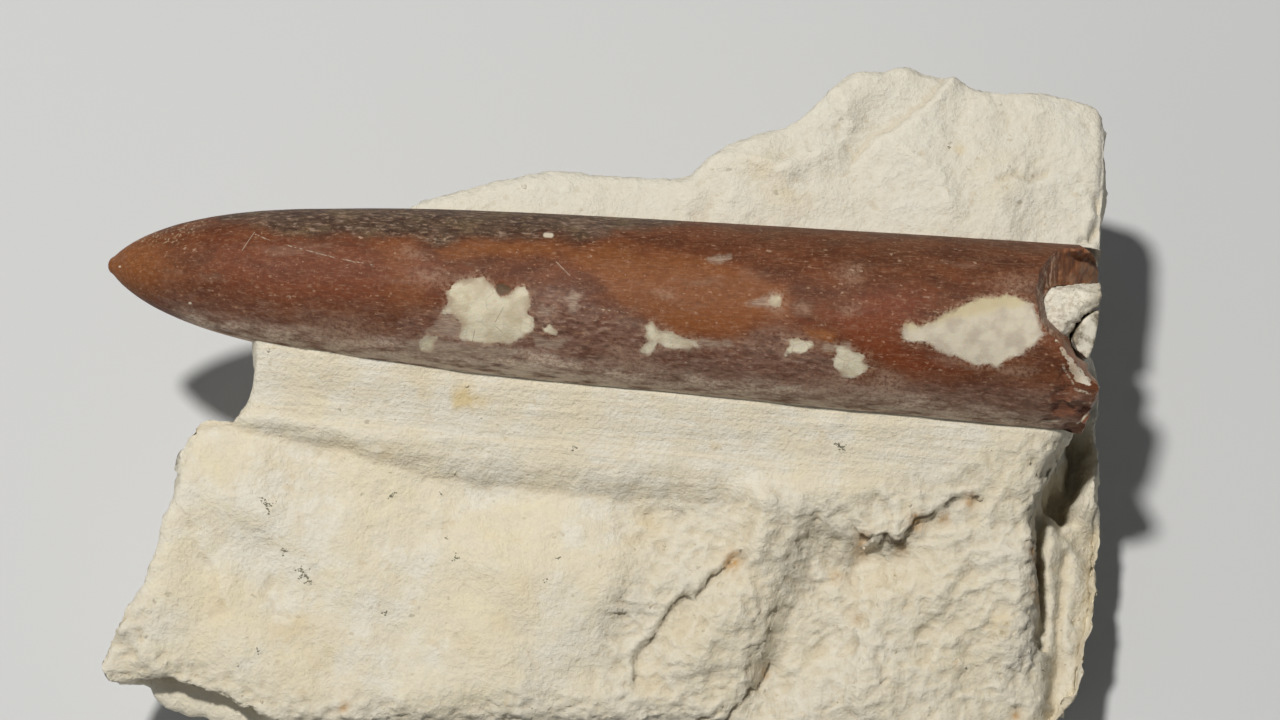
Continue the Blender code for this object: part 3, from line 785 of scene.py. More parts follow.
def add(tree, kind, *values, out=0, inputs=None, **settings):
    """Adds a node and returns its output. Values feed its first inputs, and named ones those so called."""
    node = tree.nodes.new(kind)
    for name, setting in settings.items():
        setattr(node, name, setting)
    for socket, value in zip(node.inputs, values):
        feed(tree, socket, value)
    for name, value in (inputs or {}).items():
        feed(tree, node.inputs[name], value)
    return node if out is None else node.outputs[out]


def calc(tree, operation, *values, clamp=False):
    return add(tree, "ShaderNodeMath", *values, operation=operation, use_clamp=clamp)


def times(tree, first, second):
    return calc(tree, "MULTIPLY", first, second)


def plus(tree, first, second, clamp=False):
    return calc(tree, "ADD", first, second, clamp=clamp)


def minus(tree, first, second, clamp=False):
    return calc(tree, "SUBTRACT", first, second, clamp=clamp)


def vector_calc(tree, operation, *values, out=0):
    return add(tree, "ShaderNodeVectorMath", *values, operation=operation, out=out)


def scaled(tree, vector, scale):
    return add(tree, "ShaderNodeVectorMath", vector, inputs={"Scale": scale}, operation="SCALE")


def clouds(tree, place, scale, detail, roughness=0.5, out="Fac"):
    """Cloudy noise at each place."""
    inputs = {"Scale": scale, "Detail": detail, "Roughness": roughness}
    return add(tree, "ShaderNodeTexNoise", place, inputs=inputs, out=out)


def geometry_tree(name, sizes, on_mesh=True):
    """A new Geometry Nodes tree and its inputs: a mesh to work on, sizes and counts, and a material."""
    tree = bpy.data.node_groups.new(name, "GeometryNodeTree")

    def socket(label, kind, way="INPUT"):
        return tree.interface.new_socket(label, in_out=way, socket_type="NodeSocket" + kind)

    if on_mesh:
        socket("Geometry", "Geometry")
    for label, value in sizes.items():
        socket(label, "Int" if isinstance(value, int) else "Float").default_value = value
    socket("Material", "Material")
    socket("Geometry", "Geometry", "OUTPUT")
    return tree, tree.nodes.new("NodeGroupInput").outputs


def turned_tree():
    """A tree that turns the guard's profile about its axis, along X from its tip at the origin."""
    sizes = {
        "Length": GUARD_LENGTH * MM,
        "Swell Radius": SWELL_RADIUS * MM,
        "Swell Length": SWELL_LENGTH * MM,
        "Swell Power": SWELL_POWER,
        "Taper": TAPER,
        "Mucro Radius": MUCRO_RADIUS * MM,
        "Rings": 330,
        "Sides": 212,
    }
    tree, given = geometry_tree("Turned guard", sizes, on_mesh=False)
    rings = plus(tree, given["Rings"], 1)
    sides = plus(tree, given["Sides"], 1)
    grid = add(
        tree, "GeometryNodeMeshGrid",
        inputs={"Size X": 1.0, "Size Y": 1.0, "Vertices X": rings, "Vertices Y": sides},
    )
    spot = add(tree, "ShaderNodeSeparateXYZ", add(tree, "GeometryNodeInputPosition"), out=None)
    share = plus(tree, spot.outputs["X"], 0.5)
    turn = times(tree, plus(tree, spot.outputs["Y"], 0.5), math.tau)
    skin_share = 1 - CAP_SHARE
    capped = calc(tree, "MAXIMUM", times(tree, minus(tree, share, skin_share), 1 / CAP_SHARE), 0.0)
    spread = calc(
        tree, "POWER", calc(tree, "MINIMUM", calc(tree, "DIVIDE", share, skin_share), 1.0), RING_CROWDING
    )
    along = times(tree, spread, given["Length"])
    fall = calc(tree, "POWER", calc(tree, "DIVIDE", along, given["Swell Length"]), given["Swell Power"])
    decay = calc(tree, "EXPONENT", times(tree, fall, -1.0))
    swell = times(tree, minus(tree, 1.0, decay), given["Swell Radius"])
    radius = plus(tree, swell, times(tree, along, given["Taper"]))
    past = calc(tree, "POWER", minus(tree, along, given["Mucro Radius"]), 2.0)
    left = minus(tree, calc(tree, "POWER", given["Mucro Radius"], 2.0), past)
    mucro = calc(tree, "SQRT", calc(tree, "MAXIMUM", left, 0.0))
    radius = times(tree, calc(tree, "MAXIMUM", radius, mucro), minus(tree, 1.0, capped))
    level = times(tree, radius, calc(tree, "COSINE", turn))
    height = times(tree, radius, calc(tree, "SINE", turn))
    place = add(tree, "ShaderNodeCombineXYZ", along, level, height)
    turned = add(tree, "GeometryNodeSetPosition", inputs={"Geometry": grid, "Position": place})
    closed = add(tree, "GeometryNodeMergeByDistance", turned, inputs={"Distance": 0.002 * MM})
    flipped = add(tree, "GeometryNodeFlipFaces", closed)
    finish(tree, add(tree, "GeometryNodeSetShadeSmooth", flipped), given["Material"])
    return tree


def finish(tree, geometry, material):
    """Ends a tree: real geometry with its material on."""
    real = add(tree, "GeometryNodeRealizeInstances", geometry)
    done = tree.nodes.new("NodeGroupOutput")
    tree.links.new(
        add(tree, "GeometryNodeSetMaterial", real, inputs={"Material": material}), done.inputs["Geometry"]
    )


def grown(mesh, tree, name, values):
    """A new plain object of what a tree makes of a mesh, with the tree's named inputs set."""
    obj = new_object(mesh, name)
    modifier = obj.modifiers.new(tree.name, "NODES")
    modifier.node_group = tree
    for item in tree.interface.items_tree:
        if item.in_out == "INPUT" and item.name in values:
            modifier[item.identifier] = values[item.name]
    return settled(obj, name)


def crumb_tree():
    """A tree that strews crumbs over a mesh, as thickly as its attribute named crumbs says."""
    sizes = {"Density": 90000.0, "Smallest": 0.10 * MM, "Largest": 0.42 * MM, "Seed": 7}
    tree, given = geometry_tree("Strewn crumbs", sizes)
    thick = add(tree, "GeometryNodeInputNamedAttribute", inputs={"Name": "crumbs"}, data_type="FLOAT")
    patches = clouds(tree, add(tree, "GeometryNodeInputPosition"), 260.0, 3.0)
    patches = times(tree, minus(tree, patches, 0.42, clamp=True), 6.0)
    density = times(tree, times(tree, thick, patches), given["Density"])
    spread = add(
        tree, "GeometryNodeDistributePointsOnFaces", given["Geometry"],
        inputs={"Density": density, "Seed": given["Seed"]},
    )
    grain = add(tree, "GeometryNodeMeshIcoSphere", inputs={"Radius": 1.0, "Subdivisions": 2})
    dents = clouds(tree, None, 1.3, 1.0, out="Color")
    dents = vector_calc(tree, "SUBTRACT", dents, (0.5, 0.5, 0.5))
    dents = vector_calc(tree, "MULTIPLY", dents, (1.6, 1.6, 1.6))
    grain = add(tree, "GeometryNodeSetPosition", grain, inputs={"Offset": dents})
    turn = add(
        tree, "FunctionNodeRandomValue", data_type="FLOAT_VECTOR",
        inputs={"Min": (0.0, 0.0, 0.0), "Max": (math.tau, math.tau, math.tau), "Seed": given["Seed"]},
    )
    chance = calc(tree, "POWER", add(
        tree, "FunctionNodeRandomValue", data_type="FLOAT", out=1,
        inputs={"Seed": plus(tree, given["Seed"], 1)},
    ), 3.5)
    size = minus(tree, given["Largest"], given["Smallest"])
    size = plus(tree, times(tree, size, chance), given["Smallest"])
    build = add(
        tree, "FunctionNodeRandomValue", data_type="FLOAT_VECTOR",
        inputs={"Min": (0.55, 0.5, 0.35), "Max": (1.1, 0.9, 0.7), "Seed": plus(tree, given["Seed"], 2)},
    )
    scale = vector_calc(tree, "MULTIPLY", build, add(tree, "ShaderNodeCombineXYZ", size, size, size))
    placed = add(
        tree, "GeometryNodeInstanceOnPoints", spread,
        inputs={"Instance": grain, "Rotation": turn, "Scale": scale},
    )
    finish(tree, placed, given["Material"])
    return tree


def fleck_tree():
    """A tree that lays a thin flake on each point of a mesh, turned and sized as its attributes say."""
    tree, given = geometry_tree("Mineral flecks", {"Thickness": 0.03 * MM})
    points = add(tree, "GeometryNodeMeshToPoints", given["Geometry"])
    facing = add(tree, "GeometryNodeInputNamedAttribute", inputs={"Name": "facing"}, data_type="FLOAT_VECTOR")
    size = add(tree, "GeometryNodeInputNamedAttribute", inputs={"Name": "size"}, data_type="FLOAT")
    turn = add(tree, "FunctionNodeAlignRotationToVector", inputs={"Vector": facing}, axis="Z")
    scale = add(tree, "ShaderNodeCombineXYZ", size, times(tree, size, 0.7), given["Thickness"])
    flake = add(tree, "GeometryNodeMeshIcoSphere", inputs={"Radius": 1.0, "Subdivisions": 2})
    placed = add(
        tree, "GeometryNodeInstanceOnPoints", points,
        inputs={"Instance": flake, "Rotation": turn, "Scale": scale},
    )
    finish(tree, placed, given["Material"])
    return tree


# Clusters of dark mineral flecks in the chalk, as (x, y, spread, how many)
CLUSTERS = [
    (-34.7, -21.1, 0.9, 8), (-32.5, -25, 0.3, 6), (-30.6, -26.7, 0.7, 10), (-30.1, -27.5, 0.3, 4),
    (-22.9, -18.8, 0.5, 5), (-17.3, -22.5, 0.2, 3), (-16.2, -24.4, 0.4, 6), (-6.3, -23.8, 0.2, 3),
    (-7.4, -26.3, 0.25, 3), (-22.3, -29.9, 0.3, 4), (-34.2, -34.5, 0.3, 3), (-5.6, -13.5, 0.3, 4),
    (19.7, -11.8, 0.5, 8), (40.3, -26.7, 0.4, 5), (41, -29.3, 0.25, 3), (28, 17.4, 0.2, 2),
    (-18.2, -18.2, 0.2, 2),
]


def fleck_points(chalk):
    """Points on the chalk where its mineral flecks lie. Each cluster branches out from its middle."""
    tree = BVHTree.FromPolygons(
        [v.co for v in chalk.data.vertices], [tuple(p.vertices) for p in chalk.data.polygons]
    )
    chance = random.Random(11)
    points, facings, sizes = [], [], []
    for x, y, spread, count in CLUSTERS:
        for _ in range(count):
            turn = chance.uniform(0, math.tau)
            branch = round(chance.uniform(2, 7) * spread)
            for i in range(branch + 1):
                reach = i * 0.17 + 0.1 * chance.random()
                turn += chance.uniform(-0.4, 0.4)
                above = frame_place(x + reach * math.cos(turn), y + reach * math.sin(turn), 20)
                place, facing, _, _ = tree.ray_cast(above, Vector((0, 0, -1)))
                points.append(place)
                facings.extend(facing)
                sizes.append(chance.uniform(0.04, 0.13) * MM)
    mesh = bpy.data.meshes.new("fleck_points")
    mesh.from_pydata(points, [], [])
    mesh.attributes.new("facing", "FLOAT_VECTOR", "POINT").data.foreach_set("vector", facings)
    put_attribute(mesh, "size", sizes)
    return mesh


def solid(name, places, faces, material):
    """An object of a closed shape, with its faces turned outwards."""
    mesh = bpy.data.meshes.new(name)
    mesh.from_pydata(places.tolist(), [], faces)
    put_places(mesh, places)
    shape = bmesh.new()
    shape.from_mesh(mesh)
    bmesh.ops.recalc_face_normals(shape, faces=shape.faces)
    shape.to_mesh(mesh)
    shape.free()
    mesh.materials.append(material)
    return new_object(mesh, name)


def closed_sheet(name, near, far, material):
    """A closed solid between two grids of places."""
    rows, columns = near.shape[:2]
    count = rows * columns
    places = np.concatenate((near.reshape(-1, 3), far.reshape(-1, 3)))
    index = np.arange(count).reshape(rows, columns)
    faces = np.stack((index[:-1, :-1], index[1:, :-1], index[1:, 1:], index[:-1, 1:]), axis=-1).reshape(-1, 4)
    rim = [*index[0, :], *index[1:, -1], *index[-1, -2::-1], *index[-2:0:-1, 0]]
    walls = [(a, b, b + count, a + count) for a, b in zip(rim, [*rim[1:], rim[0]])]
    return solid(name, places, [*faces.tolist(), *(faces[:, ::-1] + count).tolist(), *walls], material)


def ring_pile(name, places, count, material):
    """A closed solid of rings of places, which have count places each and follow one another."""
    rows = len(places) // count
    faces = [tuple(range(count)), tuple(range(len(places) - count, len(places)))]
    for row in range(rows - 1):
        for i in range(count):
            j = (i + 1) % count
            faces.append((row * count + i, row * count + j, (row + 1) * count + j, (row + 1) * count + i))
    return solid(name, places, faces, material)


def rough_prism(name, outline, low, high, rough, material, step=0.3, rise=0.4):
    """An upright prism over an outline of the guard's showing side, with uneven walls."""
    corners = [*outline, outline[0]]
    ring = []
    for start, end in zip(corners, corners[1:]):
        steps = max(1, round(math.dist(start, end) / step))
        ring += [np.add(start, np.subtract(end, start) * i / steps) for i in range(steps)]
    ring = np.array(ring)
    levels = np.arange(low, high + 0.01, rise)
    side = np.array([(x, across, out) for out in levels for x, across in ring])
    side[:, 0] += rough * fractal(side, 1.1, 3)
    side[:, 1] += rough * fractal(side + 30, 1.1, 3)
    return ring_pile(name, from_side(*side.T), len(ring), material)


def break_cutter(material):
    """Everything that is missing from the guard's end above its break, seen from its showing side."""
    along = np.arange(BREAK_START_X, CUTTER_END_X + 0.01, BREAK_STEP_X)
    over = np.arange(-CUTTER_HALF_WIDTH, CUTTER_HALF_WIDTH + 0.01, BREAK_STEP_ACROSS)
    x, across = np.meshgrid(along, over, indexing="ij")
    plan = np.column_stack((x.ravel(), across.ravel()))
    places = np.column_stack((plan, np.zeros(len(plan))))
    uneven = wobble(wobble(places, 0.8, 0.14), 0.35, 0.07)
    depth = depth_inside(uneven, SKIN_EDGE)
    in_plug = depth_inside(uneven, PLUG_OUTLINE) > 0
    whole = skin(plan[:, 0], plan[:, 1])
    level = np.interp(uneven[:, 0], *zip(*WALL_LEVELS))
    uneven_wall = 0.20 * fractal(places, (0.45, 3.2, 1), 4, 0.7) + 0.25 * fractal(places + 5, 2.2, 3)
    uneven_wall += 0.24 * facets(wobble(places, 0.6, 0.2), (0.8, 1.6, 1), 2.2)
    level += uneven_wall * (1 - smooth_step(plan[:, 1], 6.2, 7.8))
    arm = whole - 0.15 - 2.2 * depth + 0.12 * fractal(places, 0.9, 3)
    level = np.where(plan[:, 1] > 1.2, level, arm)
    level[in_plug] = HOLLOW_OUT - 1.5
    inside = np.maximum(whole - 1.4 * depth - 2.0 * depth**2, level)
    height = np.where(depth > 0, inside, whole + np.minimum(-4 * depth, 1.5)).reshape(x.shape)
    return closed_sheet("break", from_side(x, across, height), from_side(x, across, CUTTER_TOP), material)


def end_cutter(material):
    """Everything past the guard's broken end, seen along its axis."""
    over = np.arange(-CUTTER_HALF_WIDTH, CUTTER_HALF_WIDTH + 0.01, END_STEP)
    across, out = np.meshgrid(over, over, indexing="ij")
    reach = np.hypot(across, out)
    places = np.column_stack((across.ravel(), out.ravel(), np.zeros(across.size)))
    end = np.interp(across, *zip(*END_OUTLINE))
    end = np.minimum(end, 43.5) - 0.22 * np.maximum(reach - 7.9, 0) ** 2
    grain = 0.22 * fractal(places, 2.6, 4) + 0.08 * fractal(places + 7, 0.7, 3)
    end += grain.reshape(across.shape) - 0.1
    return closed_sheet("end", from_side(end, across, out), from_side(CUTTER_FAR_X, across, out), material)


def hollow_cutter(material, extra=0.0, end_x=CUTTER_END_X, name="hollow"):
    """The cone of the hollow, as a solid that widens along X about its own axis, with extra on its radius."""
    x = np.append(np.arange(HOLLOW_APEX_X + 0.4, end_x, 0.4), end_x)
    turns = np.arange(40) * math.tau / 40
    radius = (x - HOLLOW_APEX_X)[:, None] * HOLLOW_WIDENING + extra
    across = HOLLOW_ACROSS + radius * np.cos(turns)
    out = HOLLOW_OUT + radius * np.sin(turns)
    rings = from_side(np.broadcast_to(x[:, None], across.shape), across, out)
    return ring_pile(name, wobble(rings.reshape(-1, 3), 1.6, 0.1), len(turns), material)


def chip_hollows(plan):
    """Each scooped chip's depth, and how it bulges over the plan points: 1 in its middle and 0 at its rim."""
    for x, across, half_length, half_width, turn, depth in CHIPS.values():
        turn = math.radians(turn)
        off_x, off_across = plan[:, 0] - x, plan[:, 1] - across
        along = (off_x * math.cos(turn) + off_across * math.sin(turn)) / half_length
        over = (off_across * math.cos(turn) - off_x * math.sin(turn)) / half_width
        yield depth, 1 - along**2 - over**2


def guard_piece(calcite, broken):
    """The guard, with its flakes and chips sunk in and its end broken off, and the marks on its vertices."""
    obj = grown(bpy.data.meshes.new("guard"), turned_tree(), "guard_calcite", {"Material": calcite})
    places = places_of(obj.data)
    places += AXIS + np.array((TIP_X, 0, 0))
    reach = np.hypot(places[:, 1], places[:, 2])
    outward = np.column_stack((np.zeros(len(places)), places[:, 1:] / np.maximum(reach, 1e-6)[:, None]))
    uneven = 0.05 * fractal(places, (14, 5, 5), 3) + 0.012 * fractal(places, (3.5, 0.6, 0.6), 3)
    side = to_side(places)
    shows = smooth_step(side[:, 2], -0.5, 0.5)
    plan = wobble(side * np.array((1, 1, 0)), 0.7, 0.06)
    sunk = np.zeros(len(places))
    for depth, outline in (*CREAM_FLAKES.values(), *GREY_FLAKES.values(), MILKY_EYE, PIT, FISSURE_FILL):
        inside = smooth_step(depth_inside(plan, outline), -0.06, 0.22)
        sunk += depth * inside * (1 + 0.5 * fractal(places, 0.9, 3))
    for depth, bulge in chip_hollows(plan):
        sunk += depth * smooth_step(bulge, 0, 0.55)
    places += outward * (uneven * smooth_step(reach, 0, 2) - sunk * shows)[:, None]
    put_places(obj.data, places)

    notch = rough_prism("notch", NOTCH_OUTLINE, *NOTCH_LEVELS, 0.07, broken)
    obj = cut(obj, [hollow_cutter(broken), break_cutter(broken), end_cutter(broken), notch], "guard_calcite")
    obj.data.shade_smooth()
    obj.data.set_sharp_from_angle(angle=SHARP_EDGE)
    mark_guard(obj.data)
    return obj


def zone(plan, zones):
    """How strong a colour is at each plan point, from its zones with soft edges."""
    total = np.zeros(len(plan))
    for softness, strength, outline in zones.values():
        total = np.maximum(total, strength * smooth_step(depth_inside(plan, outline), -softness, softness))
    return total


def mark_guard(mesh):
    """Puts the guard's markings on its vertices, as depths inside outlines and as strengths of colour."""
    side = to_side(places_of(mesh))
    shows = side[:, 2] > -0.5
    plan = side * np.array((1, 1, 0))
    soft_plan = wobble(wobble(plan, 4, 0.9), 1.2, 0.25)

    def put_depths(name, outlines):
        depth = np.max([depth_inside(plan, outline) for _, outline in outlines], axis=0)
        put_attribute(mesh, name, np.where(shows, np.clip(depth, -3, 3), -3))

    put_depths("cream", CREAM_FLAKES.values())
    put_depths("grey", GREY_FLAKES.values())
    put_depths("milky", [MILKY_EYE])
    put_depths("pit", [PIT])
    put_depths("filled", [FISSURE_FILL])
    colours = {"amber": AMBER_ZONES, "ember": EMBER_ZONES, "smoke_and_reflection": SMOKE_AND_REFLECTION_ZONES, "dusk": DUSK_ZONES}
    for name, zones in colours.items():
        put_attribute(mesh, name, zone(soft_plan, zones) * shows)
    line = np.interp(side[:, 0], *zip(*POWDER_LINE))
    powder = smooth_step(line - side[:, 1] + 0.35 * fractal(side, (5, 1, 1), 3), -0.8, 0.9)
    past_tip = smooth_step(side[:, 0], -46, -42)
    put_attribute(mesh, "powder", np.where(shows, powder, 0.6) * past_tip)
    smudge = spots_over(soft_plan, SMUDGES, *SMUDGE_SHAPE)
    put_attribute(mesh, "smudge", np.clip(smudge, 0, 1) * shows)
    caked = 0.9 * smooth_step(line - side[:, 1], 0.9, 2.4) * shows
    put_attribute(mesh, "caked", caked * past_tip)
    put_attribute(mesh, "white_tip", smooth_step(depth_inside(soft_plan, WHITE_TIP), -0.8, 0.6) * shows)
    chipped = np.zeros(len(side))
    for _, bulge in chip_hollows(plan):
        chipped = np.maximum(chipped, smooth_step(bulge, -0.1, 0.3))
    put_attribute(mesh, "chipped", chipped * shows)


def plug_piece(chalk_material):
    """The plug of chalk in the hollow: granular, broken off where the notch is."""
    plug = hollow_cutter(chalk_material, -PLUG_FIT, 43.0, "plug")
    plug = cut(plug, [rough_prism("plug_notch", NOTCH_OUTLINE, *NOTCH_LEVELS, 0.1, chalk_material)], "plug")
    plug = refined(plug, "plug_chalk", PLUG_VOXEL, 3)
    places, normals = places_of(plug.data), normals_of(plug.data)
    side = to_side(places)
    notch = depth_inside(side, NOTCH_OUTLINE)
    slump = smooth_step(notch, -1.1, 0.1) * smooth_step(side[:, 2], 1, 4)
    places -= OUT * (0.9 * slump)[:, None]
    bared = smooth_step(side[:, 0], 36.5, 37.5)
    grain = 0.20 * fractal(places, 1.3, 4) + 0.08 * fractal(places, 0.4, 3)
    grain += 0.32 * facets(wobble(places, 0.8, 0.3), 1.3, 5.1) * smooth_step(side[:, 2], 0, 2)
    places += normals * ((grain - 0.04) * bared)[:, None]
    put_places(plug.data, places)
    return plug


def notch_chalk(chalk_material):
    """The chalk that shows through the notch in the broken end, with a dark gap around it."""
    piece = rough_prism("notch_chalk", NOTCH_CHALK_OUTLINE, -8.5, 5.8, 0.12, chalk_material)
    piece = refined(piece, "notch_chalk", NOTCH_VOXEL)
    places, normals = places_of(piece.data), normals_of(piece.data)
    side = to_side(places)
    places += normals * (0.06 * fractal(places, 2.0, 3))[:, None]
    places -= OUT * (0.3 * smooth_step(side[:, 2], 2, 4) * (side[:, 0] - 41.3))[:, None]
    put_places(piece.data, places)
    put_attribute(piece.data, "ochre", np.full(len(places), 0.3))
    return piece


def new_material(name):
    """A new material, its node tree and its shader's inputs."""
    made = bpy.data.materials.new(name)
    made.use_nodes = True
    return made, made.node_tree, made.node_tree.nodes["Principled BSDF"].inputs


def shader_group(name, inputs, outputs):
    """A new shader node group with named inputs, whose kinds follow their values, and number outputs."""
    tree = bpy.data.node_groups.new(name, "ShaderNodeTree")
    for label, value in inputs.items():
        kind = "NodeSocketVector" if isinstance(value, tuple) else "NodeSocketFloat"
        tree.interface.new_socket(label, in_out="INPUT", socket_type=kind).default_value = value
    for label in outputs:
        tree.interface.new_socket(label, in_out="OUTPUT", socket_type="NodeSocketFloat")
    return tree, tree.nodes.new("NodeGroupInput").outputs, tree.nodes.new("NodeGroupOutput").inputs


def span(tree, value, low, high, to_low=0.0, to_high=1.0, smooth=True):
    """A value's place between two others, as a number from the one given to the other."""
    return add(
        tree, "ShaderNodeMapRange", value, low, high, to_low, to_high,
        interpolation_type="SMOOTHSTEP" if smooth else "LINEAR",
    )


def streak_group():
    """Noise that is drawn out along X."""
    inputs = {"Place": (0.0, 0.0, 0.0), "Length": 8.0, "Width": 1.0, "Detail": 4.0}
    tree, given, done = shader_group("Streaks", inputs, ["Value"])
    shrink = add(
        tree, "ShaderNodeCombineXYZ", calc(tree, "DIVIDE", 1.0, given["Length"]),
        calc(tree, "DIVIDE", 1.0, given["Width"]), calc(tree, "DIVIDE", 1.0, given["Width"]),
    )
    place = vector_calc(tree, "MULTIPLY", given["Place"], shrink)
    tree.links.new(clouds(tree, place, 1.0, given["Detail"], 0.6), done["Value"])
    return tree


def fleck_group():
    """Scattered flecks: a share of the cells of a cell pattern has one, each its own size."""
    inputs = {"Place": (0.0, 0.0, 0.0), "Size": 1.0, "Share": 0.2, "Stretch": 1.0, "Uneven": 0.3}
    tree, given, done = shader_group("Flecks", inputs, ["Mask"])
    shrink = calc(tree, "DIVIDE", 1.0, given["Size"])
    place = add(tree, "ShaderNodeCombineXYZ", calc(tree, "DIVIDE", shrink, given["Stretch"]), shrink, shrink)
    place = vector_calc(tree, "MULTIPLY", given["Place"], place)
    shift = clouds(tree, place, 2.1, 2.0, out="Color")
    shift = vector_calc(tree, "SUBTRACT", shift, (0.5, 0.5, 0.5))
    shift = scaled(tree, shift, given["Uneven"])
    cells = add(
        tree, "ShaderNodeTexVoronoi", vector_calc(tree, "ADD", place, shift), inputs={"Scale": 1.0}, out=None
    )
    chance = add(tree, "ShaderNodeSeparateColor", cells.outputs["Color"], out=None)
    picked = calc(tree, "LESS_THAN", chance.outputs["Red"], given["Share"])
    reach = plus(tree, times(tree, chance.outputs["Green"], 0.26), 0.10)
    inner = times(tree, reach, 0.6)
    near = span(tree, cells.outputs["Distance"], reach, inner)
    tree.links.new(times(tree, near, picked), done["Mask"])
    return tree


def ragged_group():
    """A mask that fills an outline, from the depth inside it, with an uneven edge."""
    inputs = {"Depth": 0.0, "Place": (0.0, 0.0, 0.0), "Size": 0.5, "Uneven": 0.12, "Softness": 0.05}
    tree, given, done = shader_group("Ragged fill", inputs, ["Mask"])
    place = scaled(tree, given["Place"], calc(tree, "DIVIDE", 1.0, given["Size"]))
    ripple = clouds(tree, place, 1.0, 4.0, 0.6)
    ripple = times(tree, minus(tree, ripple, 0.5), times(tree, given["Uneven"], 2.0))
    depth = plus(tree, given["Depth"], ripple)
    low = times(tree, given["Softness"], -1.0)
    tree.links.new(span(tree, depth, low, given["Softness"]), done["Mask"])
    return tree


def line_mark_group():
    """A mark along a straight line on the guard's showing side, with gaps in it."""
    ends = {"Start": (0.0, 0.0, 0.0), "End": (1.0, 0.0, 0.0)}
    inputs = {"Place": (0.0, 0.0, 0.0), **ends, "Width": 0.1, "Gaps": 0.3}
    tree, given, done = shader_group("Line mark", inputs, ["Mask"])
    flat = vector_calc(tree, "MULTIPLY", given["Place"], (1.0, 1.0, 0.0))
    run = vector_calc(tree, "SUBTRACT", given["End"], given["Start"])
    off = vector_calc(tree, "SUBTRACT", flat, given["Start"])
    share = calc(
        tree, "DIVIDE", vector_calc(tree, "DOT_PRODUCT", off, run, out="Value"),
        vector_calc(tree, "DOT_PRODUCT", run, run, out="Value"), clamp=True,
    )
    foot = scaled(tree, run, share)
    distance = vector_calc(tree, "LENGTH", vector_calc(tree, "SUBTRACT", off, foot), out="Value")
    inner = times(tree, given["Width"], 0.35)
    near = span(tree, distance, given["Width"], inner)
    gaps = clouds(tree, flat, 3.2, 2.0)
    gaps = span(tree, gaps, given["Gaps"], plus(tree, given["Gaps"], 0.15), smooth=False)
    height = add(tree, "ShaderNodeSeparateXYZ", given["Place"], out="Z")
    shows = calc(tree, "GREATER_THAN", height, 0.0)
    tree.links.new(times(tree, times(tree, near, gaps), shows), done["Mask"])
    return tree


def grain_group():
    """Powdery grain: a height in millimetres, and a tone that goes with it."""
    inputs = {"Place": (0.0, 0.0, 0.0), "Size": 0.5, "Height": 0.03}
    tree, given, done = shader_group("Powder grain", inputs, ["Height", "Tone"])
    place = scaled(tree, given["Place"], calc(tree, "DIVIDE", 1.0, given["Size"]))
    coarse = clouds(tree, place, 1.0, 6.0, 0.65)
    cells = add(tree, "ShaderNodeTexVoronoi", place, inputs={"Scale": 1.7}, out="Distance")
    total = plus(tree, coarse, times(tree, cells, 0.25))
    tree.links.new(times(tree, total, given["Height"]), done["Height"])
    tree.links.new(coarse, done["Tone"])
    return tree


def use(tree, group, out, **inputs):
    """Places a shader group and gives it its values."""
    return add(tree, "ShaderNodeGroup", node_tree=group, inputs=inputs, out=out)


def mix(tree, share, first, second):
    """One colour over another, by a share."""
    node = add(tree, "ShaderNodeMix", data_type="RGBA", out=None)
    for index, value in ((0, share), (6, first), (7, second)):
        feed(tree, node.inputs[index], value)
    return node.outputs[2]


class Coats:
    """A base colour that is built up coat by coat."""

    def __init__(self, tree, colour):
        self.tree = tree
        self.colour = colour

    def over(self, share, colour, amount=1.0):
        """Lays a colour over the others, by a share and an amount."""
        if amount != 1.0:
            share = times(self.tree, share, amount)
        self.colour = mix(self.tree, share, self.colour, colour)


def set_constants(shader, values):
    """Sets what is the same all over a surface on the shader's own sockets."""
    for name, value in values.items():
        shader[name].default_value = value


def attribute(tree, name):
    """What a vertex attribute says at each place."""
    return add(tree, "ShaderNodeAttribute", attribute_name=name, out="Fac")


def guard_places(tree, from_side_on=True):
    """The place in millimetres in the guard's frame, or by its showing side."""
    place = add(tree, "ShaderNodeTexCoord", out="Object")
    turn = LEAN - math.pi / 2 if from_side_on else 0.0
    middle = to_side(AXIS[None, :])[0] if from_side_on else AXIS
    return add(
        tree, "ShaderNodeMapping", place,
        inputs={"Location": tuple(-middle), "Rotation": (turn, 0, 0), "Scale": (1 / MM, 1 / MM, 1 / MM)},
    )


def bump(tree, height):
    """A normal from a height in millimetres."""
    height = times(tree, height, MM)
    return add(tree, "ShaderNodeBump", inputs={"Strength": 1.0, "Distance": 1.0, "Height": height})


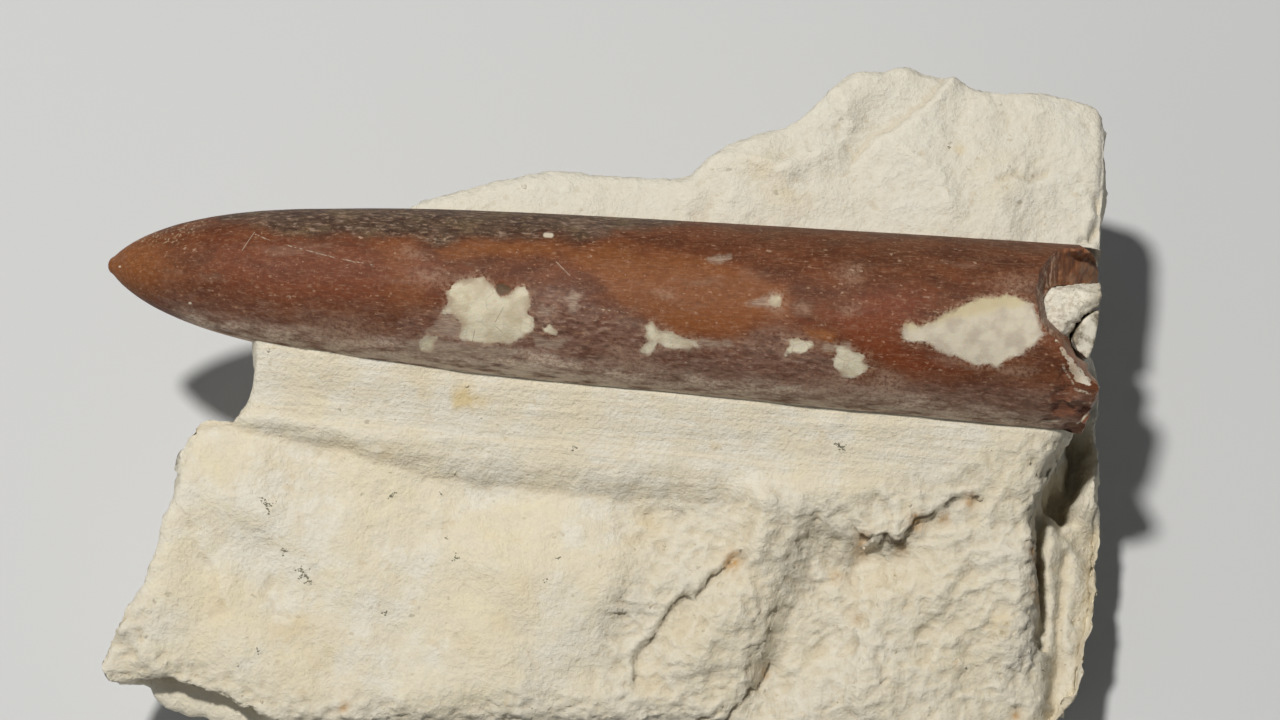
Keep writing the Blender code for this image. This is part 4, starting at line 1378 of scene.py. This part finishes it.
def chalk_material(groups, name, relief):
    """Cream chalk: powdery, clouded and stained, with dark fissures and painted shade: in its hollows, in its
    pits, under its lips and partly on its broken faces, with a painted highlight on its raised places. relief
    scales its fine grain.
    """
    made, tree, shader = new_material(name)
    place = guard_places(tree, False)
    grain = use(tree, groups["grain"], "Tone", Place=place, Size=0.55)
    grain_height = use(tree, groups["grain"], "Height", Place=place, Size=0.7, Height=0.22)
    fine_height = use(tree, groups["grain"], "Height", Place=place, Size=0.22, Height=0.085)
    broad = clouds(tree, place, 0.11, 5.0, 0.62)
    cloud = clouds(tree, place, 0.42, 5.0, 0.6)
    ledge = attribute(tree, "ledge")
    streaks = use(tree, groups["streak"], "Value", Place=place, Length=9.0, Width=0.45, Detail=5.0)

    coats = Coats(tree, mix(tree, span(tree, broad, 0.42, 0.60), (0.80, 0.77, 0.68), (0.785, 0.705, 0.515)))
    over = coats.over
    over(span(tree, cloud, 0.38, 0.66), (0.755, 0.69, 0.545))
    over(attribute(tree, "back"), (0.735, 0.71, 0.63), 0.75)
    # Darker where crumbs lie: partly the broken chalk's duller tone, partly painted shade on the broken faces
    # and sides that turn away from the light
    over(attribute(tree, "crumbs"), (0.655, 0.60, 0.475), 0.5)
    over(times(tree, ledge, span(tree, streaks, 0.44, 0.62, 0.0, 0.5)), (0.73, 0.645, 0.485))
    over(span(tree, grain, 0.30, 0.72, 0.35, 0.0), (0.65, 0.585, 0.455))
    ochre = times(tree, attribute(tree, "ochre"), span(tree, cloud, 0.3, 0.62, 0.25, 1.0))
    over(ochre, (0.69, 0.56, 0.33), 0.75)
    tan = use(tree, groups["fleck"], "Mask", Place=place, Size=2.1, Share=0.16, Stretch=1.2, Uneven=0.9)
    over(tan, (0.62, 0.50, 0.32), 0.35)
    dark = use(tree, groups["fleck"], "Mask", Place=place, Size=0.9, Share=0.035, Stretch=1.3, Uneven=0.8)
    over(dark, (0.33, 0.29, 0.21), 0.5)
    # Painted shade: small brownish flecks that stand in for the shade in tiny pits
    pit_shade = use(tree, groups["fleck"], "Mask", Place=place, Size=0.55, Share=0.10, Stretch=1.4, Uneven=0.9)
    over(pit_shade, (0.50, 0.42, 0.28), 0.5)
    rust = times(tree, attribute(tree, "rust"), span(tree, cloud, 0.25, 0.55, 0.4, 1.0))
    rust = times(tree, rust, span(tree, grain, 0.35, 0.6, 0.45, 1.0))
    over(rust, (0.52, 0.29, 0.10), 1.3)
    # Painted shade in the hollows, and a painted highlight on the raised places
    hollow = attribute(tree, "hollow")
    over(span(tree, hollow, 0.1, 1.0, 0.0, 0.35), (0.50, 0.42, 0.29))
    over(span(tree, hollow, -0.1, -0.9, 0.0, 0.35), (0.82, 0.77, 0.65))
    # A thin dark line: a dark fissure in the cracks, painted shade under the lips' undercuts
    off_line = calc(
        tree, "ABSOLUTE",
        plus(tree, attribute(tree, "dark_line_offset"), span(tree, cloud, 0.3, 0.7, -0.12, 0.12)),
    )
    fissure = times(
        tree, span(tree, off_line, 0.16, 0.03), span(tree, attribute(tree, "dark_line_reach"), 0.6, 0.3)
    )
    fissure = times(tree, fissure, span(tree, cloud, 0.40, 0.56))
    over(fissure, (0.10, 0.075, 0.045), 0.85)
    tree.links.new(coats.colour, shader["Base Color"])

    height = plus(tree, plus(tree, grain_height, fine_height), times(tree, times(tree, streaks, ledge), 0.10))
    tree.links.new(bump(tree, times(tree, height, relief)), shader["Normal"])
    set_constants(shader, {"Roughness": 0.95, "Specular IOR Level": 0.15})
    return made


# How calcite reflects light, and how far light goes into it
CALCITE = {
    "Specular IOR Level": 0.16,
    "Subsurface Weight": 0.12,
    "Subsurface Radius": (1.0, 0.35, 0.12),
    "Subsurface Scale": 0.9 * MM,
}

# Fine marks on the guard's showing side, pale scratches and dots and two painted glints: two ends in (x,
# across), half its width, its gaps, and its strength
SCRATCHES = {
    "steep scratch": ((-38.3, 2.3), (-37.4, 4.1), 0.06, 0.25, 0.4),
    "first dash": ((-37.3, 3.9), (-35.8, 3.4), 0.08, 0.45, 0.5),
    "long scratch left": ((-34.3, 3.1), (-29.2, 2.2), 0.07, 0.42, 0.5),
    "long scratch right": ((-29.2, 2.2), (-24.1, 1.6), 0.07, 0.5, 0.5),
    "bent scratch left": ((-8.4, 3.4), (-7.7, 2.8), 0.07, 0.3, 0.4),
    "bent scratch right": ((-7.7, 2.8), (-7.0, 2.2), 0.06, 0.3, 0.35),
    "dashes": ((-6.0, -0.6), (-1.2, -0.9), 0.08, 0.5, 0.55),
    "low line": ((9.9, -7.6), (13.2, -6.9), 0.08, 0.35, 0.35),
    "low line's bright end": ((13.2, -6.9), (15.4, -6.5), 0.18, 0.4, 0.5),
    "oval spot": ((-9.7, 5.9), (-9.2, 5.9), 0.34, 0.0, 1.0),
    "speck at the tip": ((-50.6, -0.1), (-50.5, -0.1), 0.12, 0.0, 1.0),
    "low speck": ((-43.2, -3.1), (-43.1, -3.1), 0.16, 0.0, 1.0),
    # Painted glints: two pale lines that stand in for highlights on the lower arm's chipped edges
    "painted glint on the lower arm": ((41.9, -8.0), (42.9, -6.7), 0.16, 0.3, 0.9),
    "painted glint on the upper chip": ((40.9, -6.2), (42.6, -6.0), 0.10, 0.45, 0.6),
    "crescent": ((38.5, -8.1), (39.9, -7.9), 0.16, 0.25, 0.8),
    "first dot in the big flake": ((-15.7, -0.6), (-15.6, -0.6), 0.22, 0.0, 0.6),
    "second dot in the big flake": ((-13.9, -0.7), (-13.8, -0.7), 0.25, 0.0, 0.8),
    "left of the fissure": ((39.5, -2.6), (40.8, -4.3), 0.15, 0.42, 0.6),
    "below the fissure": ((41.0, -4.8), (42.4, -5.1), 0.17, 0.42, 0.85),
    "above the chips": ((39.3, -5.4), (40.7, -5.2), 0.07, 0.42, 0.4),
}
CRACKS = {
    "upper crack in the big flake": ((-12.9, -1.0), (-13.7, -2.7), 0.05, 0.35, 0.5),
    "lower crack in the big flake": ((-13.9, -2.9), (-13.0, -3.6), 0.05, 0.35, 0.45),
    "left crack in the big flake": ((-15.6, -3.5), (-15.8, -4.7), 0.06, 0.3, 0.5),
    "line over the lip of the eye": ((25.6, -1.5), (27.6, -1.8), 0.06, 0.3, 0.5),
}


def calcite_material(groups):
    """The guard's skin: its colours from the inside out, with a painted dark reflection along the top, then its
    dust, flakes, scratches, painted glints and cracks.
    """
    made, tree, shader = new_material("Amber calcite")
    place = guard_places(tree)
    mottle = use(tree, groups["streak"], "Value", Place=place, Length=4.0, Width=1.6, Detail=6.0)
    streaks = use(tree, groups["streak"], "Value", Place=place, Length=1.5, Width=0.5, Detail=7.0)
    fine = use(tree, groups["streak"], "Value", Place=place, Length=1.1, Width=0.16, Detail=3.0)
    elsewhere = vector_calc(tree, "ADD", place, (31.0, 7.0, 3.0))
    veil = use(tree, groups["streak"], "Value", Place=elsewhere, Length=7.0, Width=2.2, Detail=4.0)

    coats = Coats(
        tree, mix(tree, span(tree, mottle, 0.35, 0.65), (0.098, 0.029, 0.011), (0.155, 0.048, 0.017))
    )
    over = coats.over

    def filled_outline(name, size, uneven, softness):
        """The mask of the markings of one kind, with their ragged edges."""
        depth = attribute(tree, name)
        return use(
            tree, groups["ragged"], "Mask",
            Depth=depth, Place=place, Size=size, Uneven=uneven, Softness=softness,
        )

    # The calcite itself: ember, amber and dusky patches, a dark band along the top that is partly smoky calcite
    # and partly a painted dark reflection, streaks and fine threads
    over(attribute(tree, "ember"), (0.19, 0.040, 0.011), 0.6)
    over(attribute(tree, "amber"), (0.28, 0.098, 0.026), 0.72)
    over(
        attribute(tree, "dusk"),
        mix(tree, span(tree, streaks, 0.35, 0.65), (0.155, 0.078, 0.056), (0.30, 0.195, 0.150)),
        0.8,
    )
    # Painted dark reflection along the upper edge, laid in with the smoky tone of the calcite there
    over(
        attribute(tree, "smoke_and_reflection"),
        mix(tree, span(tree, streaks, 0.38, 0.62), (0.040, 0.030, 0.023), (0.110, 0.084, 0.058)),
        0.85,
    )
    olive = clouds(tree, place, 0.28, 3.0)
    over(times(tree, attribute(tree, "smoke_and_reflection"), span(tree, olive, 0.48, 0.62)), (0.15, 0.105, 0.055), 0.7)
    over(span(tree, streaks, 0.50, 0.75), (0.26, 0.13, 0.07), 0.15)
    grit = clouds(tree, place, 2.6, 5.0, 0.7)
    over(span(tree, grit, 0.52, 0.70), (0.34, 0.19, 0.11), 0.40)
    over(span(tree, grit, 0.46, 0.30), (0.05, 0.018, 0.01), 0.40)
    over(span(tree, fine, 0.54, 0.70), (0.40, 0.23, 0.14), 0.30)
    over(span(tree, veil, 0.54, 0.74), (0.28, 0.19, 0.14), 0.3)
    threads = use(tree, groups["streak"], "Value", Place=place, Length=0.85, Width=0.34, Detail=6.0)
    dim = calc(tree, "MAXIMUM", attribute(tree, "dusk"), attribute(tree, "smoke_and_reflection"))
    over(
        times(tree, span(tree, threads, 0.50, 0.36), span(tree, dim, 0.0, 1.0, 0.4, 1.0)),
        (0.034, 0.016, 0.011),
        0.5,
    )
    over(
        times(tree, span(tree, threads, 0.54, 0.66), span(tree, dim, 0.0, 1.0, 0.15, 1.0)),
        (0.46, 0.33, 0.25),
        0.5,
    )

    # Chalk dust, caked low down, in dots and specks, and thick at the tip
    powder = attribute(tree, "powder")
    wisps = use(tree, groups["streak"], "Value", Place=place, Length=3.0, Width=1.1, Detail=6.0)
    dust = times(tree, powder, span(tree, wisps, 0.36, 0.62, 0.15, 1.0))
    over(dust, mix(tree, span(tree, grit, 0.36, 0.64), (0.42, 0.29, 0.215), (0.76, 0.62, 0.49)), 0.85)
    over(times(tree, attribute(tree, "caked"), span(tree, wisps, 0.34, 0.56)), (0.76, 0.64, 0.51), 0.9)
    dots = use(tree, groups["fleck"], "Mask", Place=place, Size=0.34, Share=0.30, Stretch=1.8, Uneven=0.9)
    over(dots, (0.48, 0.30, 0.19), 0.42)
    specks = use(tree, groups["fleck"], "Mask", Place=place, Size=0.55, Share=0.20, Stretch=1.6, Uneven=0.8)
    thick = clouds(tree, place, 0.35, 3.0)
    thick = plus(tree, span(tree, thick, 0.42, 0.66), times(tree, powder, 0.5), clamp=True)
    over(times(tree, specks, thick), (0.50, 0.36, 0.25), 0.6)
    tip_flecks = use(
        tree, groups["fleck"], "Mask", Place=place, Size=0.8, Share=0.75, Stretch=1.5, Uneven=1.2
    )
    tip_flecks = calc(tree, "MAXIMUM", times(tree, tip_flecks, 0.5), span(tree, grit, 0.54, 0.64))
    over(times(tree, tip_flecks, attribute(tree, "white_tip")), (0.57, 0.46, 0.29), 0.5)

    # Smudges, chips, and the flakes with the pale chalk in them
    over(
        times(tree, attribute(tree, "smudge"), span(tree, grit, 0.40, 0.56, 0.25, 1.0)),
        (0.44, 0.30, 0.21),
        0.8,
    )
    over(
        attribute(tree, "chipped"),
        mix(tree, span(tree, fine, 0.35, 0.65), (0.12, 0.036, 0.018), (0.25, 0.11, 0.06)),
        0.7,
    )
    flaked = filled_outline("grey", 1.0, 0.7, 0.3)
    over(flaked, mix(tree, span(tree, fine, 0.35, 0.65), (0.28, 0.20, 0.15), (0.46, 0.36, 0.27)), 0.65)
    for name in ("cream", "milky"):
        halo = span(tree, attribute(tree, name), -0.9, 0.1)
        over(times(tree, halo, span(tree, grit, 0.42, 0.58)), (0.42, 0.29, 0.20), 0.4)
    cream = filled_outline("cream", 1.1, 0.5, span(tree, grit, 0.35, 0.6, 0.04, 0.22))
    plates = add(tree, "ShaderNodeTexVoronoi", place, inputs={"Scale": 0.55, "Detail": 1.0}, out="Color")
    plates = add(tree, "ShaderNodeSeparateColor", plates, out="Red")
    inner = clouds(tree, place, 0.55, 4.0)
    pale = mix(tree, span(tree, inner, 0.38, 0.60), (0.54, 0.46, 0.31), (0.72, 0.66, 0.49))
    pale = mix(tree, times(tree, plates, 0.4), pale, (0.58, 0.52, 0.42))
    seams = add(
        tree, "ShaderNodeTexVoronoi", place,
        inputs={"Scale": 0.55}, feature="DISTANCE_TO_EDGE", out="Distance",
    )
    seams = times(tree, span(tree, seams, 0.05, 0.0), span(tree, inner, 0.45, 0.6))
    pale = mix(tree, times(tree, seams, 0.35), pale, (0.34, 0.28, 0.20))
    thin = plus(tree, attribute(tree, "cream"), times(tree, minus(tree, inner, 0.5), 2.0))
    over(cream, (0.40, 0.30, 0.22), 0.6)
    over(times(tree, cream, span(tree, thin, -0.2, 0.55, 0.45, 1.0)), pale)
    milky = filled_outline("milky", 1.3, 0.6, span(tree, grit, 0.35, 0.6, 0.08, 0.42))
    split = add(tree, "ShaderNodeSeparateXYZ", place, out=None)
    upper = minus(tree, split.outputs["Y"], times(tree, minus(tree, split.outputs["X"], 28.0), 0.30))
    yellow = span(tree, plus(tree, upper, times(tree, minus(tree, inner, 0.5), 1.6)), 0.0, 1.0)
    eye = mix(tree, span(tree, inner, 0.35, 0.62), (0.485, 0.42, 0.33), (0.62, 0.56, 0.44))
    over(milky, mix(tree, times(tree, yellow, 0.7), eye, (0.55, 0.46, 0.26)))
    over(filled_outline("pit", 0.4, 0.1, 0.1), (0.13, 0.085, 0.05), 0.9)
    filled = filled_outline("filled", 0.6, 0.8, 0.08)
    over(filled, mix(tree, span(tree, inner, 0.35, 0.6), (0.46, 0.36, 0.26), (0.68, 0.62, 0.50)))
    # Pale marks, two of them painted glints, and dark cracks
    for lines, tone in ((SCRATCHES, (0.60, 0.52, 0.40)), (CRACKS, (0.16, 0.10, 0.06))):
        for start, end, width, gaps, strength in lines.values():
            mark = use(
                tree, groups["line"], "Mask",
                Place=place, Start=(*start, 0.0), End=(*end, 0.0), Width=width, Gaps=gaps,
            )
            over(mark, tone, strength)
    tree.links.new(coats.colour, shader["Base Color"])

    # Dust and chalk are dull, and rougher than the calcite
    dull = calc(tree, "MAXIMUM", calc(tree, "MAXIMUM", cream, filled), times(tree, powder, 0.8))
    tree.links.new(
        plus(tree, times(tree, dull, 0.3), span(tree, veil, 0.3, 0.7, 0.52, 0.64)), shader["Roughness"]
    )
    height = plus(tree, times(tree, grit, 0.05), times(tree, fine, 0.02))
    rough_height = use(tree, groups["grain"], "Height", Place=place, Size=0.35, Height=0.05)
    height = plus(tree, height, times(tree, rough_height, plus(tree, dull, 0.25)))
    tree.links.new(bump(tree, height), shader["Normal"])
    set_constants(shader, {**CALCITE, "IOR": 1.55})
    return made


def broken_material(groups):
    """Freshly broken calcite: fibres that stand out from the hollow like rays."""
    made, tree, shader = new_material("Broken calcite")
    place = guard_places(tree)
    split = add(tree, "ShaderNodeSeparateXYZ", place, out=None)
    off_across = minus(tree, split.outputs["Y"], HOLLOW_ACROSS)
    off_out = minus(tree, split.outputs["Z"], HOLLOW_OUT)
    turn = calc(tree, "ARCTAN2", off_out, off_across)
    reach = calc(
        tree, "SQRT", plus(tree, calc(tree, "POWER", off_across, 2.0), calc(tree, "POWER", off_out, 2.0))
    )
    rays = add(
        tree, "ShaderNodeCombineXYZ", times(tree, split.outputs["X"], 2.4),
        times(tree, turn, 6.0), times(tree, reach, 0.8),
    )
    fibres = clouds(tree, rays, 1.0, 5.0, 0.62)
    cloud = clouds(tree, place, 0.6, 4.0)
    coats = Coats(
        tree, mix(tree, span(tree, fibres, 0.35, 0.62), (0.165, 0.064, 0.031), (0.265, 0.118, 0.060))
    )
    over = coats.over
    over(span(tree, fibres, 0.60, 0.74, 0.0, 0.4), (0.42, 0.30, 0.21))
    splinters = times(tree, span(tree, fibres, 0.50, 0.60), span(tree, split.outputs["X"], 39.4, 38.0))
    over(splinters, (0.52, 0.37, 0.27), 0.75)
    lower = span(tree, split.outputs["Y"], -0.2, -1.6)
    over(lower, (0.36, 0.20, 0.13), 0.45)
    towards_end = span(tree, plus(tree, split.outputs["X"], times(tree, cloud, 3.0)), 42.4, 44.6)
    over(towards_end, (0.24, 0.165, 0.10), 0.4)
    over(span(tree, cloud, 0.52, 0.70, 0.0, 0.5), (0.36, 0.245, 0.165))
    tree.links.new(coats.colour, shader["Base Color"])
    tree.links.new(span(tree, fibres, 0.3, 0.7, 0.30, 0.5), shader["Roughness"])
    tree.links.new(bump(tree, times(tree, fibres, 0.12)), shader["Normal"])
    set_constants(shader, CALCITE)
    return made


def plug_material(groups):
    """The plug's granular chalk, with painted shade towards the broken end, where its surface turns away from
    the light, and darker in its seams.
    """
    made, tree, shader = new_material("Plug chalk")
    place = guard_places(tree)
    tone = use(tree, groups["grain"], "Tone", Place=place, Size=0.7)
    height = use(tree, groups["grain"], "Height", Place=place, Size=0.4, Height=0.11)
    coats = Coats(tree, mix(tree, span(tree, tone, 0.32, 0.62), (0.52, 0.46, 0.36), (0.78, 0.74, 0.63)))
    over = coats.over
    split = add(tree, "ShaderNodeSeparateXYZ", place, out=None)
    # Painted shade: darker towards the broken end, where the plug's surface turns away from the light
    along = minus(tree, split.outputs["X"], times(tree, split.outputs["Y"], 0.25))
    towards_end = span(tree, plus(tree, along, times(tree, tone, 2.0)), 41.2, 43.2)
    over(towards_end, (0.36, 0.31, 0.22), 0.65)
    veins = clouds(tree, place, 0.9, 4.0)
    veins = span(tree, calc(tree, "ABSOLUTE", minus(tree, veins, 0.5)), 0.022, 0.004)
    veins = times(tree, veins, span(tree, tone, 0.56, 0.44))
    over(veins, (0.30, 0.25, 0.18), 0.6)
    dark = use(tree, groups["fleck"], "Mask", Place=place, Size=0.5, Share=0.18, Stretch=1.0, Uneven=1.0)
    over(dark, (0.30, 0.25, 0.18), 0.5)
    tree.links.new(coats.colour, shader["Base Color"])
    tree.links.new(bump(tree, height), shader["Normal"])
    set_constants(shader, {"Roughness": 0.92, "Specular IOR Level": 0.2})
    return made


def plain_material(name, colour, roughness):
    """A material of one colour."""
    made, _, shader = new_material(name)
    set_constants(shader, {"Base Color": (*colour, 1), "Roughness": roughness})
    return made


def fleck_material(groups):
    """The dark mineral that grows on the chalk."""
    made, tree, shader = new_material("Dark mineral")
    tone = use(tree, groups["grain"], "Tone", Place=guard_places(tree, False), Size=0.15)
    tree.links.new(
        mix(tree, span(tree, tone, 0.35, 0.65), (0.12, 0.115, 0.085), (0.30, 0.28, 0.20)),
        shader["Base Color"],
    )
    set_constants(shader, {"Roughness": 0.85})
    return made


def camera_and_light():
    """The camera as in the photograph, two lamps, a dim world and a plain pale floor."""
    back = np.array(
        (math.sin(VIEW_TURN) * math.cos(LEAN), -math.cos(VIEW_TURN) * math.cos(LEAN), math.sin(LEAN))
    )
    right = np.array((math.cos(VIEW_TURN), math.sin(VIEW_TURN), 0.0))
    above = np.cross(back, right)
    camera = bpy.data.objects.new("camera", bpy.data.cameras.new("camera"))
    bpy.context.scene.collection.objects.link(camera)
    camera.data.lens = LENS
    camera.data.sensor_width = 36.0
    camera.data.clip_start = 0.01
    turn = Matrix([right, above, back]).transposed().to_4x4()
    place = np.array(VIEW_TARGET) + back * VIEW_DISTANCE
    camera.matrix_world = Matrix.Translation(frame_place(*place)) @ turn
    bpy.context.scene.camera = camera

    def lamp(name, place, size, watts, colour):
        light = bpy.data.objects.new(name, bpy.data.lights.new(name, "AREA"))
        light.data.shape = "DISK"
        light.data.size = size * MM
        light.data.energy = watts
        light.data.color = colour
        bpy.context.scene.collection.objects.link(light)
        at = frame_place(*place)
        light.location = at
        light.rotation_euler = (at - frame_place(0, -5, 0)).to_track_quat("Z", "Y").to_euler()

    lamp("key light", (-140, 30, 600), 50, 3.65, (1.0, 0.975, 0.93))
    lamp("fill light", (-350, -420, 420), 500, 0.3, (0.97, 0.98, 1.0))
    world = bpy.data.worlds.new("studio")
    world.use_nodes = True
    world.node_tree.nodes["Background"].inputs["Color"].default_value = (0.9, 0.95, 1.0, 1)
    world.node_tree.nodes["Background"].inputs["Strength"].default_value = 0.10
    bpy.context.scene.world = world
    bpy.context.scene.view_settings.view_transform = "Standard"

    mesh = bpy.data.meshes.new("floor")
    shape = bmesh.new()
    bmesh.ops.create_grid(shape, x_segments=1, y_segments=1, size=3.0)
    shape.to_mesh(mesh)
    shape.free()
    floor = new_object(mesh, "floor")
    floor.data.materials.append(plain_material("Floor", (0.60, 0.61, 0.62), 0.8))


groups = {
    "streak": streak_group(),
    "fleck": fleck_group(),
    "ragged": ragged_group(),
    "line": line_mark_group(),
    "grain": grain_group(),
}
chalk_finish = chalk_material(groups, "Chalk", 1.0)
chalk = chalk_base()
sculpt_chalk(chalk.data)
chalk.data.materials.append(chalk_finish)
chalk.data.shade_smooth()
crumbs = grown(chalk.data.copy(), crumb_tree(), "chalk_crumbs", {"Material": chalk_finish})
flecks = grown(fleck_points(chalk), fleck_tree(), "mineral_flecks", {"Material": fleck_material(groups)})
guard = guard_piece(calcite_material(groups), broken_material(groups))
plug = plug_piece(plug_material(groups))
plug.data.shade_smooth()
behind = notch_chalk(chalk_material(groups, "Smooth chalk", 0.35))
behind.data.shade_smooth()

PIECES = (
    (chalk, "chalk", "chalk_block"),
    (crumbs, "chalk", None),
    (flecks, "chalk", None),
    (behind, "chalk", None),
    (guard, "amber_calcite", "guard"),
    (plug, "plug_chalk", "alveolus_plug"),
)
for piece, slot, node in PIECES:
    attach(piece, "root")
    if node:
        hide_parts(node)
    print(piece.name, len(piece.data.polygons), "faces")

camera_and_light()
